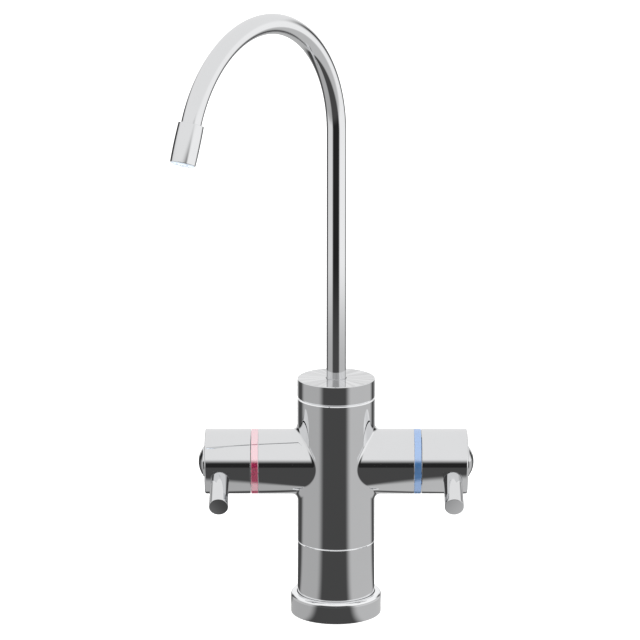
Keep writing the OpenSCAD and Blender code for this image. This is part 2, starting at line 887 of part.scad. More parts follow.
// Places its children at each drive peg between spindle and moving disc
module at_drive_pegs() {
    for (turn = [0, 180])
        rotate([0, 0, turn])
            translate([drive_peg_r, 0, 0])
                children();
}

// The moving disc's two holes open to its rim, towards the cartridge's windows
module moving_disc() {
    on_arm(moving_disc_x)
        difference() {
            disc(moving_disc_h, lever_turn);
            for (turn = [0, 180])
                rotate([0, 0, lever_turn + turn])
                    translate([disc_hole_r, -disc_hole_d / 2, -overrun])
                        cube([disc_d, disc_hole_d, moving_disc_h + 2 * overrun]);
            translate([0, 0, moving_disc_h - drive_peg_h - face_gap])
                at_drive_pegs()
                    cylinder(d = drive_peg_d + 2 * seat_fit, h = drive_peg_h + overrun);
        }
}

module hot_moving_disc() color("ivory") on_side(hot) moving_disc();
module cold_moving_disc() color("ivory") on_side(cold) moving_disc();

// Spindle: carrier with its stop notch and drive pegs, shaft, and end for the knob
module spindle() {
    seal_bore_h = neck_end_x - disc_bore_end_x;
    on_arm() {
        difference() {
            union() {
                translate([0, 0, carrier_x])
                    cylinder(d = carrier_d, h = carrier_h);
                translate([0, 0, carrier_x])
                    cylinder(d = spindle_d, h = spindle_shoulder_x - carrier_x);
                translate([0, 0, carrier_x])
                    bevelled_disc(spindle_end_d, spindle_end_x - carrier_x, 0, edge_bevel);
            }
            translate([0, 0, carrier_x - overrun])
                difference() {
                    sector(carrier_d, carrier_h + overrun, stop_key_angle - notch_margin,
                        lever_turn + 2 * notch_margin);
                    cylinder(r = notch_r, h = carrier_h + 2 * overrun);
                }
            for (share = spindle_seal_shares)
                translate([0, 0, disc_bore_end_x + share * seal_bore_h])
                    seal_groove(spindle_d, spindle_d - 2 * spindle_seal_section - 2 * seat_fit,
                        spindle_seal_groove_h);
            translate([0, 0, circlip_x])
                washer(spindle_d + 2 * overrun, spindle_d - 2 * circlip_groove_depth, circlip_h);
            translate([0, 0, spindle_end_x - screw_thread_h - overrun])
                cylinder(d = screw_d + 2 * seat_fit, h = screw_thread_h + 2 * overrun);
        }
        translate([0, 0, carrier_x - drive_peg_h])
            at_drive_pegs()
                cylinder(d = drive_peg_d, h = drive_peg_h + carrier_h / 2);
    }
}

module hot_spindle() color("goldenrod") on_side(hot) spindle();
module cold_spindle() color("goldenrod") on_side(cold) spindle();

module spindle_seals() {
    seal_bore_h = neck_end_x - disc_bore_end_x;
    for (share = spindle_seal_shares)
        on_arm(disc_bore_end_x + share * seal_bore_h)
            ring_seal(spindle_d, spindle_seal_section);
}

module hot_spindle_seals() color("black") on_side(hot) spindle_seals();
module cold_spindle_seals() color("black") on_side(cold) spindle_seals();

module circlip() {
    on_arm(circlip_x)
        difference() {
            washer(circlip_d, spindle_d - 2 * circlip_groove_depth + 2 * seat_fit, circlip_h);
            translate([0, -circlip_gap_w / 2, -overrun])
                cube([circlip_d, circlip_gap_w, circlip_h + 2 * overrun]);
        }
}

module hot_circlip() color("silver") on_side(hot) circlip();
module cold_circlip() color("silver") on_side(cold) circlip();

// Handles

module knob() {
    difference() {
        on_arm(knob_x)
            rounded_disc(arm_d, knob_h, edge_bevel, knob_edge_r);
        on_arm(knob_x - overrun)
            cylinder(d = knob_cavity_d, h = knob_floor_x - knob_x + overrun);
        on_arm(knob_x)
            cylinder(d = spindle_end_d + 2 * seat_fit, h = spindle_end_x + knob_end_play - knob_x);
        on_arm(knob_x)
            cylinder(d = screw_clear_d, h = knob_h + overrun);
        on_arm(screw_seat_x)
            cylinder(d = screw_recess_d, h = knob_h + overrun);
        on_arm(end_cap_floor_x)
            cylinder(d = end_cap_stem_d + 2 * seat_fit, h = knob_h + overrun);
        on_lever() {
            translate([0, 0, lever_seat_r])
                cylinder(d = lever_root_d + 2 * seat_fit, h = arm_d);
            translate([0, 0, lever_seat_r - lever_stud_h - face_gap])
                cylinder(d = lever_stud_d + 2 * seat_fit, h = arm_d);
        }
    }
}

module hot_knob() color("gainsboro") on_side(hot) knob();
module cold_knob() color("gainsboro") on_side(cold) knob();

// Lever: a stud in the knob, a seated root and a slightly flared pin
module lever() {
    root_r = lever_root_d / 2;
    tip_r = lever_tip_d / 2;
    on_lever()
        rotate_extrude()
            polygon([
                [0, lever_seat_r - lever_stud_h], [lever_stud_d / 2, lever_seat_r - lever_stud_h],
                [lever_stud_d / 2, lever_seat_r], [root_r, lever_seat_r], [root_r, arm_r],
                [tip_r, lever_reach - lever_edge], [tip_r - lever_edge, lever_reach], [0, lever_reach]
            ]);
}

module hot_lever() color("gainsboro") on_side(hot) lever();
module cold_lever() color("gainsboro") on_side(cold) lever();

module handle_screw() {
    on_arm() {
        translate([0, 0, spindle_end_x - screw_thread_h])
            cylinder(d = screw_d, h = screw_seat_x - spindle_end_x + screw_thread_h + edge_bevel);
        translate([0, 0, screw_seat_x])
            difference() {
                bevelled_disc(screw_head_d, screw_head_h, 0, edge_bevel);
                translate([0, 0, screw_head_h - screw_hex_h])
                    cylinder(d = screw_hex / cos(30), h = screw_hex_h + overrun, $fn = 6);
            }
    }
}

module hot_handle_screw() color("silver") on_side(hot) handle_screw();
module cold_handle_screw() color("silver") on_side(cold) handle_screw();

// End cap: a stem in the knob, a rim on its end face and a shallow dome
module end_cap() {
    dome_r = end_cap_d / 2 - end_cap_ledge;
    dome_ball_r = (pow(dome_r, 2) + pow(end_cap_dome_h, 2)) / (2 * end_cap_dome_h);
    on_arm(knob_end_x) {
        translate([0, 0, -end_cap_stem_h])
            cylinder(d = end_cap_stem_d, h = end_cap_stem_h + end_cap_rim_h / 2);
        bevelled_disc(end_cap_d, end_cap_rim_h, 0, edge_bevel);
        intersection() {
            translate([0, 0, end_cap_rim_h + end_cap_dome_h - dome_ball_r])
                sphere(r = dome_ball_r);
            translate([0, 0, end_cap_rim_h / 2])
                cylinder(r = dome_r, h = end_cap_rim_h + end_cap_dome_h);
        }
    }
}

module hot_end_cap() color("gainsboro") on_side(hot) end_cap();
module cold_end_cap() color("gainsboro") on_side(cold) end_cap();

base_flange();
base_gasket();
inlet_block();
block_screws();
port_seals();
sleeve_seals();
lower_sleeve();
valve_body();
top_cap();
lower_slide_ring();
upper_slide_ring();
swivel_stop_pin();
spout_tube();
spout_hub();
hub_seals();
outlet_collar();
outlet_seal();
flow_straightener();
hot_ring();
cold_ring();
hot_cartridge();
cold_cartridge();
hot_seat_seal();
cold_seat_seal();
hot_cartridge_seal();
cold_cartridge_seal();
hot_fixed_disc();
cold_fixed_disc();
hot_moving_disc();
cold_moving_disc();
hot_spindle();
cold_spindle();
hot_spindle_seals();
cold_spindle_seals();
hot_circlip();
cold_circlip();
hot_knob();
cold_knob();
hot_lever();
cold_lever();
hot_handle_screw();
cold_handle_screw();
hot_end_cap();
cold_end_cap();
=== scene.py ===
import json
from functools import partial
from math import asin, atan2, cos, pi, radians, sin, sqrt, tan

import bpy
import numpy as np
from bpy.props import FloatProperty, FloatVectorProperty, IntProperty, PointerProperty
from mathutils import Matrix, Vector


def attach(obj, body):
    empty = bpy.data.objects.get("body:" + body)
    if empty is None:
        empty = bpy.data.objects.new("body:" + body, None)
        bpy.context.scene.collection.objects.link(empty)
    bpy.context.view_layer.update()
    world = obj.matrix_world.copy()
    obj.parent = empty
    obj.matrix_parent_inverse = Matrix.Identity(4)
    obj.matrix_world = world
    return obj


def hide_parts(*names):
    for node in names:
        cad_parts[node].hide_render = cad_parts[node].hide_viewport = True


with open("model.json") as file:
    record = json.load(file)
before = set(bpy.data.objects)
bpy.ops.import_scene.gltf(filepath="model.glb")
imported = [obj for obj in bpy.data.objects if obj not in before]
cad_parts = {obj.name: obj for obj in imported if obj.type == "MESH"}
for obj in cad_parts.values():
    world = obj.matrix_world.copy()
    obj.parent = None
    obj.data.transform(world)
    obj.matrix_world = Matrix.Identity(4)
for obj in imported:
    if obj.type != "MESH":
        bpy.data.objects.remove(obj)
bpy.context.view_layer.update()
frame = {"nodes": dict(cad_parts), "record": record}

bl_info = {
    "name": "Boiling Water Tap",
    "version": (1, 0, 0),
    "blender": (4, 5, 0),
    "location": "View3D > Sidebar > Tap",
    "description": "Builds the visible pieces of a swan-neck boiling water tap on its packed frame",
    "category": "Add Mesh",
}

# Points in the same cell of this size are one point; the shift keeps round sizes off its borders
WELD = 1e-6
WELD_SHIFT = 0.317
# Columns in half of an arm's or a lever's opening, and in the wall between two openings
OPENING_STEPS = 80
BETWEEN_STEPS = 24
# Columns round a turned piece, and steps along the tube's bend
ROUND_STEPS = 144
BEND_STEPS = 150
# Columns round the tube, the insert and the discs of the stage
SMALL_STEPS = 96
# Points along the collar's swell and an end cap's dome, and across a pocket's rounded edge
CURVE_POINTS = 25
POCKET_EDGE_POINTS = 6
# Sides of the drill that cuts a jet, and the angle past which the insert's edges are sharp
JET_SIDES = 28
SHARP_ANGLE = radians(35)
# Rows across a fillet, and the angle that one step of a small rounding turns through
FILLET_ROWS = 12
ROUNDING_STEP = radians(12)
# Rounding of a flat bevel's own edges, as a share of its size along the axis
BEVEL_SOFTNESS = 0.18
# Rounding of the sharpest edges, and of the edge round an end cap
HAIR_EDGE = 0.0001
SEAT_EDGE = 0.0002
# Radius that blends a lever's straight root into its taper
LEVER_BLEND = 0.2
# Groove of the sleeve's seal in the spigot: bottom, top and radius of its floor
SEAL_GROOVE = (0.03785, 0.04015, 0.01945)
# Groove of the gasket in the flange's foot: inner radius, outer radius and depth
FLANGE_GASKET_GROOVE = (0.021, 0.025, 0.002)


def length(name, description, default):
    """A size in metres that a user can change."""
    return FloatProperty(name=name, description=description, default=default, min=0.0,
                         unit="LENGTH", precision=5)


def turn_of(name, description, degrees):
    """An angle that a user can change."""
    return FloatProperty(name=name, description=description, default=radians(degrees),
                         unit="ROTATION", precision=3)


def tint(name, description, default):
    """A colour that a user can change."""
    return FloatVectorProperty(name=name, description=description, default=default, size=3,
                               subtype="COLOR", min=0.0, max=1.0)


def brightness(name, description, default):
    """How bright a part of the studio shows in the chrome, where 1 is white."""
    return FloatProperty(name=name, description=description, default=default, min=0.0)


class TapBodySizes(bpy.types.PropertyGroup):
    """Sizes of the round body, from the flange up to the cap"""
    body_radius: length("Body Radius", "Radius of sleeve, valve body and top cap", 0.02375)
    sleeve_bore: length("Sleeve Bore", "Radius of the bore of the lower sleeve", 0.02125)
    sleeve_bottom: length("Sleeve Bottom", "Height at which the sleeve stands in the flange", 0.005)
    sleeve_joint: length("Sleeve Joint", "Height of the joint of sleeve and valve body", 0.046)
    sleeve_joint_edge: length("Sleeve Joint Edge", "Bevel on both sides of that joint", 0.0004)
    cap_joint: length("Cap Joint", "Height of the joint of valve body and top cap", 0.137)
    cap_joint_edge: length("Cap Joint Edge", "Bevel on both sides of that joint", 0.00075)
    cap_top: length("Cap Top", "Height of the top face of the cap", 0.149)
    cap_edge: length("Cap Edge", "Bevel of the cap's upper edge", 0.0004)
    cap_roof: length("Cap Roof", "Height of the roof inside the cap", 0.145)
    cap_bore: length("Cap Bore", "Radius of the cap's threaded bore", 0.02005)
    cap_hole: length("Cap Hole", "Radius of the hole that the tube comes through", 0.0063)
    neck_radius: length("Neck Radius", "Radius of the valve body's neck under the cap", 0.02)
    neck_top: length("Neck Top", "Height of the neck's end face", 0.1448)
    neck_recess: length("Neck Recess", "Radius of the recess for the slide rings", 0.0135)
    neck_recess_floor: length("Recess Floor", "Height of the floor of that recess", 0.1385)
    socket_radius: length("Socket Radius", "Radius of the socket that the hub turns in", 0.009)
    socket_floor: length("Socket Floor", "Height of the floor of that socket", 0.1161)
    spigot_radius: length("Spigot Radius", "Radius of the spigot in the sleeve", 0.0205)
    spigot_bottom: length("Spigot Bottom", "Height of the end face of the spigot", 0.026)
    flange_radius: length("Flange Radius", "Radius of the base flange", 0.02775)
    flange_height: length("Flange Height", "Height of the base flange", 0.013)
    flange_edge: length("Flange Edge", "Rounding of the flange's upper edge", 0.0019)
    flange_well: length("Flange Well", "Radius of the well that leaves the shadow gap", 0.02415)
    flange_foot: length("Flange Foot", "Radius of the hole for the inlet block's foot", 0.01705)
    fine_edge: length("Fine Edge", "Rounding of the machined edges", 0.0003)


class TapArmSizes(bpy.types.PropertyGroup):
    """Sizes of the arms, their bores and the colour rings"""
    arm_height: length("Arm Height", "Height of the arms' axis above the deck", 0.096)
    arm_radius: length("Arm Radius", "Radius of the arms, the colour rings and the knobs", 0.02)
    arm_reach: length("Arm Reach", "Distance from the body's axis to the end of an arm", 0.0476)
    fillet_radius: length("Fillet Radius", "Radius of the ball that rounds arm into body", 0.004)
    ring_width: length("Ring Width", "Width of a colour ring", 0.0043)
    ring_bore: length("Ring Bore", "Radius of the bore of a colour ring", 0.01605)
    ring_spigot: length("Ring Spigot", "Radius of the spigot that carries a colour ring", 0.016)
    ring_spigot_end: length("Ring Spigot End", "Distance from the body's axis to its end", 0.0518)
    recess_radius: length("Recess Radius", "Radius of the recess round the hexagon", 0.015)
    recess_floor: length("Recess Floor", "Distance from the body's axis to its floor", 0.042)
    thread_radius: length("Thread Radius", "Radius of the cartridge's thread", 0.012)
    thread_end: length("Thread End", "Distance from the body's axis to its inner end", 0.032)
    chamber_radius: length("Chamber Radius", "Radius of the water chamber", 0.011)
    chamber_end: length("Chamber End", "Distance from the body's axis to its floor", 0.018)


class TapHandleSizes(bpy.types.PropertyGroup):
    """Sizes of the knobs, the levers and the end caps"""
    knob_start: length("Knob Start", "Distance from the body's axis to a knob's inner face", 0.0522)
    knob_length: length("Knob Length", "Length of a knob", 0.0281)
    knob_edge: length("Knob Edge", "Rounding of a knob's outer edge", 0.001)
    cavity_radius: length("Cavity Radius", "Radius of a knob's cavity", 0.016)
    cavity_floor: length("Cavity Floor", "Distance from the body's axis to its floor", 0.0595)
    spindle_bore: length("Spindle Bore", "Radius of the bore for the spindle", 0.00405)
    spindle_bore_end: length("Spindle Bore End", "Distance from the body's axis to its end", 0.0688)
    screw_hole: length("Screw Hole", "Radius of the hole for the handle screw", 0.0022)
    screw_recess: length("Screw Recess", "Radius of the recess for the screw's head", 0.0038)
    screw_seat: length("Screw Seat", "Distance from the body's axis to the screw's seat", 0.071)
    cap_seat: length("Cap Seat", "Radius of the seat for the end cap's stem", 0.00705)
    cap_seat_floor: length("Cap Seat Floor", "Distance from the body's axis to its floor", 0.0776)
    lever_place: length("Lever Place", "Distance from the body's axis to a lever's axis", 0.071)
    lever_drop: turn_of("Lever Drop", "Angle of a closed lever below level", 20.0)
    lever_seat: length("Lever Seat", "Distance from the arm's axis to a lever's seat", 0.0135)
    lever_pocket: length("Lever Pocket", "Radius of the pocket in the knob", 0.00565)
    pocket_edge: length("Pocket Edge", "Rounding of that pocket's edge", 0.00018)
    stud_bore: length("Stud Bore", "Radius of the bore for the lever's stud", 0.00305)
    stud_bore_floor: length("Stud Bore Floor", "Distance from the arm's axis to its floor", 0.0072)
    stud_radius: length("Stud Radius", "Radius of a lever's stud", 0.003)
    stud_end: length("Stud End", "Distance from the arm's axis to the stud's end", 0.0073)
    lever_root: length("Lever Root", "Radius of a lever where it leaves the knob", 0.0056)
    lever_tip: length("Lever Tip", "Radius of a lever at its free end", 0.00585)
    lever_reach: length("Lever Reach", "Distance from the arm's axis to a lever's free end", 0.047)
    lever_edge: length("Lever Edge", "Rounding of a lever's free end", 0.0003)
    cap_stem: length("Cap Stem", "Radius of an end cap's stem", 0.007)
    cap_stem_length: length("Cap Stem Length", "Length of an end cap's stem", 0.0026)
    cap_rim: length("Cap Rim", "Radius of an end cap's rim", 0.00925)
    cap_rim_height: length("Cap Rim Height", "Thickness of that rim", 0.0012)
    dome_radius: length("Dome Radius", "Radius of the foot of an end cap's dome", 0.00885)
    dome_height: length("Dome Height", "Height of that dome", 0.0029)


class TapSpoutSizes(bpy.types.PropertyGroup):
    """Sizes of the swan neck, the collar and the insert in its mouth"""
    tube_radius: length("Tube Radius", "Outside radius of the spout tube", 0.006)
    tube_bore: length("Tube Bore", "Inside radius of the spout tube", 0.005)
    tube_bottom: length("Tube Bottom", "Height of the tube's end in the hub", 0.1261)
    bend_start: length("Bend Start", "Height at which the bend starts", 0.301)
    bend_radius: length("Bend Radius", "Radius of the bend's centre line", 0.0745)
    bend_angle: turn_of("Bend Angle", "Angle that the tube turns through", 159.0)
    heading: turn_of("Heading", "Way the spout points, turned from the cold arm", 235.0)
    tail_radius: length("Tail Radius", "Radius of the tube's turned-down end", 0.0058)
    tail_bore: length("Tail Bore", "Reamed radius of that end's bore", 0.00515)
    tail_length: length("Tail Length", "Length of that end", 0.0115)
    collar_radius: length("Collar Radius", "Largest radius of the outlet collar", 0.00775)
    collar_crown: length("Collar Crown", "Height of the soft swell along the collar", 0.00022)
    collar_length: length("Collar Length", "Length of the outlet collar", 0.023)
    collar_bore: length("Collar Bore", "Radius of the collar's bore round the tube", 0.00585)
    collar_mouth: length("Collar Mouth", "Radius of the collar's bore round the insert", 0.0066)
    insert_radius: length("Insert Radius", "Radius of the flow straightener", 0.00655)
    insert_start: length("Insert Start", "Distance from the tube's bend to the insert", 0.0125)
    insert_length: length("Insert Length", "Length of the flow straightener", 0.0115)
    cup_radius: length("Cup Radius", "Radius of the hollow at its inner end", 0.0053)
    cup_depth: length("Cup Depth", "Depth of that hollow", 0.003)
    jet_radius: length("Jet Radius", "Radius of each water jet", 0.0011)
    jet_circle: length("Jet Circle", "Radius of the circle of outer jets", 0.0037)
    jet_count: IntProperty(name="Jet Count", description="Number of outer jets", default=6, min=1)
    notch_width: length("Notch Width", "Width of each notch in the rim", 0.0018)
    notch_depth: length("Notch Depth", "Depth of each notch in the rim", 0.0007)
    notch_start: length("Notch Start", "Distance from the axis to a notch's inner end", 0.0048)


class TapFinishes(bpy.types.PropertyGroup):
    """Colours of the tap's materials"""
    chrome: tint("Chrome", "Colour of the polished chrome", (0.80, 0.805, 0.815))
    red_ring: tint("Red Ring", "Anodised red of the hot ring", (0.82, 0.01, 0.15))
    blue_ring: tint("Blue Ring", "Anodised blue of the cold ring", (0.13, 0.36, 0.80))
    brass: tint("Brass", "Colour of the turned brass", (0.78, 0.60, 0.30))
    stainless: tint("Stainless", "Colour of pins, screws and circlips", (0.62, 0.62, 0.61))
    rubber: tint("Rubber", "Colour of seals and gasket", (0.028, 0.028, 0.030))
    ceramic: tint("Ceramic", "Colour of the cartridge discs", (0.90, 0.89, 0.86))
    plastic: tint("Plastic", "Colour of the slide rings", (0.84, 0.84, 0.82))
    insert: tint("Insert", "Colour of the flow straightener", (0.78, 0.86, 0.95))


class TapStudio(bpy.types.PropertyGroup):
    """The camera, the floor and what the chrome mirrors"""
    target: FloatVectorProperty(name="Target", description="Point in the middle of the picture",
                                default=(-0.009878, 0.0, 0.18511), size=3, subtype="TRANSLATION")
    elevation: turn_of("Elevation", "Angle of the camera above the horizon", 13.794)
    distance: length("Distance", "Distance from the camera to the target", 2.1107)
    lens: FloatProperty(name="Lens", description="Focal length", default=195.5, unit="CAMERA")
    floor_radius: length("Floor Radius", "Radius of the pale floor", 14.0)
    table_radius: length("Table Radius", "Radius of the table that the chrome mirrors", 1.0)
    table_light: brightness("Table Light", "Brightness of the plain table", 0.07)
    wall_light: brightness("Wall Light", "Brightness of the walls between softboxes", 0.02)
    ceiling_light: brightness("Ceiling Light", "Brightness of the soft ceiling", 0.9)



# Places and profiles


class Place:
    """A frame with its origin, a first axis and a third axis, which pieces are turned about."""

    def __init__(self, origin, first, third):
        first = Vector(first).normalized()
        third = Vector(third).normalized()
        self.origin = Vector(origin)
        self.axes = (first, third.cross(first), third)

    def points(self, local):
        """Local points, in the frame of the tap."""
        return np.array(self.origin) + local @ np.array(self.axes)

    def ways(self, local):
        """Local directions, in the frame of the tap."""
        return local @ np.array(self.axes)

    def matrix(self):
        """The place as a matrix."""
        turned = Matrix(self.axes).transposed().to_4x4()
        return Matrix.Translation(self.origin) @ turned


UPRIGHT = Place((0.0, 0.0, 0.0), (1.0, 0.0, 0.0), (0.0, 0.0, 1.0))


def round_angles(steps=ROUND_STEPS):
    """Angles of a full turn, with both of its ends."""
    return np.linspace(0.0, 2 * pi, steps + 1)


def grid(first, second, third):
    """A grid of points from three grids or columns of coordinates."""
    return np.stack(np.broadcast_arrays(first, second, third), axis=-1)


def profile(*stops, closed=False):
    """Lines and roundings through stops of (radius, height, rounding), material on their left.

    Each run is a list of (radius, height, normal's radial part, normal's part along)."""
    count = len(stops)
    points = [Vector(stop[:2]) for stop in stops]
    legs = count if closed else count - 1
    ways = [(points[(i + 1) % count] - points[i]).normalized() for i in range(legs)]
    turns = [0.0] * count
    cuts = [0.0] * count
    for i, stop in enumerate(stops):
        if len(stop) > 2:
            come, go = ways[i - 1], ways[i]
            turns[i] = atan2(come.x * go.y - come.y * go.x, come.dot(go))
            cuts[i] = stop[2] * tan(abs(turns[i]) / 2)
    runs = []
    for i in range(legs):
        j = (i + 1) % count
        start = points[i] + ways[i] * cuts[i]
        end = points[j] - ways[i] * cuts[j]
        out = Vector((ways[i].y, -ways[i].x))
        runs.append([(*start, *out), (*end, *out)])
        if cuts[j]:
            runs.append(rounding(end, out, turns[j], stops[j][2]))
    return runs


def bevel(radius, height, size, radial, along):
    """Stops of a flat bevel at a corner, from the end of one side to the start of the next."""
    first, last = (radius, height + along * size), (radius + radial * size, height)
    soft = size * BEVEL_SOFTNESS
    return ((*first, soft), (*last, soft)) if along < 0 else ((*last, soft), (*first, soft))


def rounding(start, out, turned, radius):
    """A rounding of a profile's corner, from its start and the normal there."""
    hand = 1 if turned > 0 else -1
    centre = start - out * radius * hand
    steps = max(2, round(abs(turned) / ROUNDING_STEP))
    run = []
    for i in range(steps + 1):
        way = out.copy()
        way.rotate(Matrix.Rotation(turned * i / steps, 2))
        run.append((*(centre + way * radius * hand), *way))
    return run


# The surface of a piece


class Shell:
    """The closed surface of one piece, as grids of points that carry their exact normals."""

    def __init__(self):
        self.corners = []
        self.normals = []

    def add(self, points, normals):
        """Add a grid of points, turning each face to the side that its normals point to."""
        faces = []
        for values in np.broadcast_arrays(points, normals):
            rings = (values[:-1, :-1], values[:-1, 1:], values[1:, 1:], values[1:, :-1])
            faces.append(np.stack(rings, axis=2).reshape(-1, 4, 3))
        corners, ways = faces
        across = np.cross(corners[:, 2] - corners[:, 0], corners[:, 3] - corners[:, 1])
        inward = np.einsum("ij,ij->i", across, ways.sum(axis=1)) < 0
        for values in faces:
            values[inward] = values[inward][:, ::-1]
        self.corners.append(corners)
        self.normals.append(ways)

    def turn(self, place, runs, angles=None):
        """Turn the runs of a profile about the third axis of a place."""
        angles = round_angles() if angles is None else angles
        for run in runs:
            radius, height, radial, along = (np.array(column)[:, None] for column in zip(*run))
            self.add(place.points(grid(radius * np.cos(angles), radius * np.sin(angles), height)),
                     place.ways(grid(radial * np.cos(angles), radial * np.sin(angles), along)))

    def mesh(self, name):
        """Join the grids into one mesh with smooth faces and their exact normals."""
        corners = np.concatenate(self.corners)
        normals = np.concatenate(self.normals)
        flat = corners.reshape(-1, 3)
        cells = np.floor(flat / WELD + WELD_SHIFT).astype(np.int64)
        _, first, index = np.unique(cells, axis=0, return_index=True, return_inverse=True)
        faces, ways = [], []
        for face, face_ways in zip(index.reshape(-1, 4).tolist(), normals.tolist()):
            if len(set(face)) < 3:
                continue
            kept = [i for i in range(4) if face[i] != face[i - 1]]
            faces.append([face[i] for i in kept])
            ways.extend(face_ways[i] for i in kept)
        mesh = bpy.data.meshes.new(name)
        mesh.from_pydata(flat[first].tolist(), [], faces)
        mesh.polygons.foreach_set("use_smooth", [True] * len(faces))
        mesh.update()
        mesh.normals_split_custom_set(ways)
        return mesh


def pierced_wall(shell, place, radius, low, high, openings):
    """Wall of a cylinder with openings, each a centre angle, a middle, turns and rises.

    Returns the angles of the wall's columns, for the pieces of surface that go on from it."""
    angles = []

    def strip(columns, *edges):
        """A part of the wall between its lower and its upper edge."""
        rows = np.stack(np.broadcast_arrays(columns, *edges)[1:])
        x, y = np.cos(columns), np.sin(columns)
        shell.add(place.points(grid(radius * x, radius * y, rows)),
                  place.ways(grid(x, y, np.zeros_like(rows))))

    for i, (centre, middle, turns, rises) in enumerate(openings):
        columns = centre + turns
        strip(columns, low, middle - rises)
        strip(columns, middle + rises, high)
        following, _, next_turns, _ = openings[(i + 1) % len(openings)]
        if i + 1 == len(openings):
            following += 2 * pi
        between = np.linspace(columns[-1], following + next_turns[0], BETWEEN_STEPS + 1)
        strip(between, low, middle, high)
        angles.extend([*columns[:-1], *between[:-1]])
    return np.array(angles + [angles[0] + 2 * pi])


def half_circle():
    """Places across and up of an opening's columns, from one end of its width to the other."""
    steps = np.linspace(0.0, pi, OPENING_STEPS + 1)
    return -np.cos(steps), np.sin(steps)


def put(name, mesh, body, slot, material, *nodes):
    """Make a piece of a mesh that stands for CAD nodes, and hang it on its body."""
    piece = bpy.data.objects.new(name, mesh)
    bpy.context.scene.collection.objects.link(piece)
    mesh.materials.clear()
    mesh.materials.append(bpy.data.materials[material])
    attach(piece, body)
    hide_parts(*nodes)
    return piece


def put_chrome(shell, body, node):
    """Make a piece of polished chrome that stands for one CAD node."""
    name = f"chrome_{node}"
    put(name, shell.mesh(name), body, "polished_chrome", "polished_chrome_plate", node)


# Node trees


def math_node(tree, operation, *values, clamp=False):
    """A Math node with sockets or numbers as its inputs."""
    node = tree.nodes.new("ShaderNodeMath")
    node.operation = operation
    node.use_clamp = clamp
    for socket, value in zip(node.inputs, values):
        feed(tree, value, socket)
    return node.outputs[0]


def feed(tree, value, socket):
    """Link a socket to another, or give it a value."""
    if isinstance(value, bpy.types.NodeSocket):
        tree.links.new(value, socket)
    else:
        socket.default_value = value


def add_node(tree, kind, settings=None, **values):
    """A node with its settings, and its inputs by name with underscores for spaces."""
    node = tree.nodes.new(kind)
    for key, value in (settings or {}).items():
        setattr(node, key, value)
    for key, value in values.items():
        feed(tree, value, node.inputs[key.replace("_", " ")])
    return node


def group_node(tree, name, **values):
    """A shader group placed in a tree, with its inputs by name."""
    return add_node(tree, "ShaderNodeGroup", {"node_tree": bpy.data.node_groups[name]}, **values)


def length_of(tree, vector):
    """The length of a vector."""
    node = add_node(tree, "ShaderNodeVectorMath", {"operation": "LENGTH"}, Vector=vector)
    return node.outputs["Value"]


def mix_colors(tree, factor, first, second, mode="MIX"):
    """Two colours mixed by a factor, through the sockets that a Mix node has for colours."""
    node = add_node(tree, "ShaderNodeMix", {"data_type": "RGBA", "blend_type": mode})
    for i, value in ((0, factor), (6, first), (7, second)):
        feed(tree, value, node.inputs[i])
    return node.outputs[2]


def new_tree(name, kind, inputs, outputs):
    """A node group with named inputs and outputs; each input has a socket type and a default."""
    tree = bpy.data.node_groups.new(name, kind)
    for label, socket_type, default in inputs:
        socket = tree.interface.new_socket(label, in_out="INPUT", socket_type=socket_type)
        if default is not None:
            socket.default_value = default
    for label, socket_type in outputs:
        tree.interface.new_socket(label, in_out="OUTPUT", socket_type=socket_type)
    return tree, tree.nodes.new("NodeGroupInput"), tree.nodes.new("NodeGroupOutput")


def finish_geometry(tree, geometry, material, leave):
    """End a geometry tree in Realize Instances and Set Material."""
    real = add_node(tree, "GeometryNodeRealizeInstances", Geometry=geometry)
    painted = add_node(tree, "GeometryNodeSetMaterial", Geometry=real.outputs[0], Material=material)
    tree.links.new(painted.outputs[0], leave.inputs[0])


def through_nodes(mesh, tree, **values):
    """Run a mesh through a geometry tree and give back the plain mesh that comes out."""
    carrier = bpy.data.objects.new(mesh.name, mesh)
    bpy.context.scene.collection.objects.link(carrier)
    modifier = carrier.modifiers.new("Nodes", "NODES")
    modifier.node_group = tree
    for item in tree.interface.items_tree:
        key = item.name.replace(" ", "_")
        if item.in_out == "INPUT" and key in values:
            modifier[item.identifier] = values[key]
    bpy.context.view_layer.update()
    result = carrier.evaluated_get(bpy.context.evaluated_depsgraph_get())
    made = bpy.data.meshes.new_from_object(result)
    made.name = mesh.name
    carrier.modifiers.remove(modifier)
    bpy.data.objects.remove(carrier)
    return made


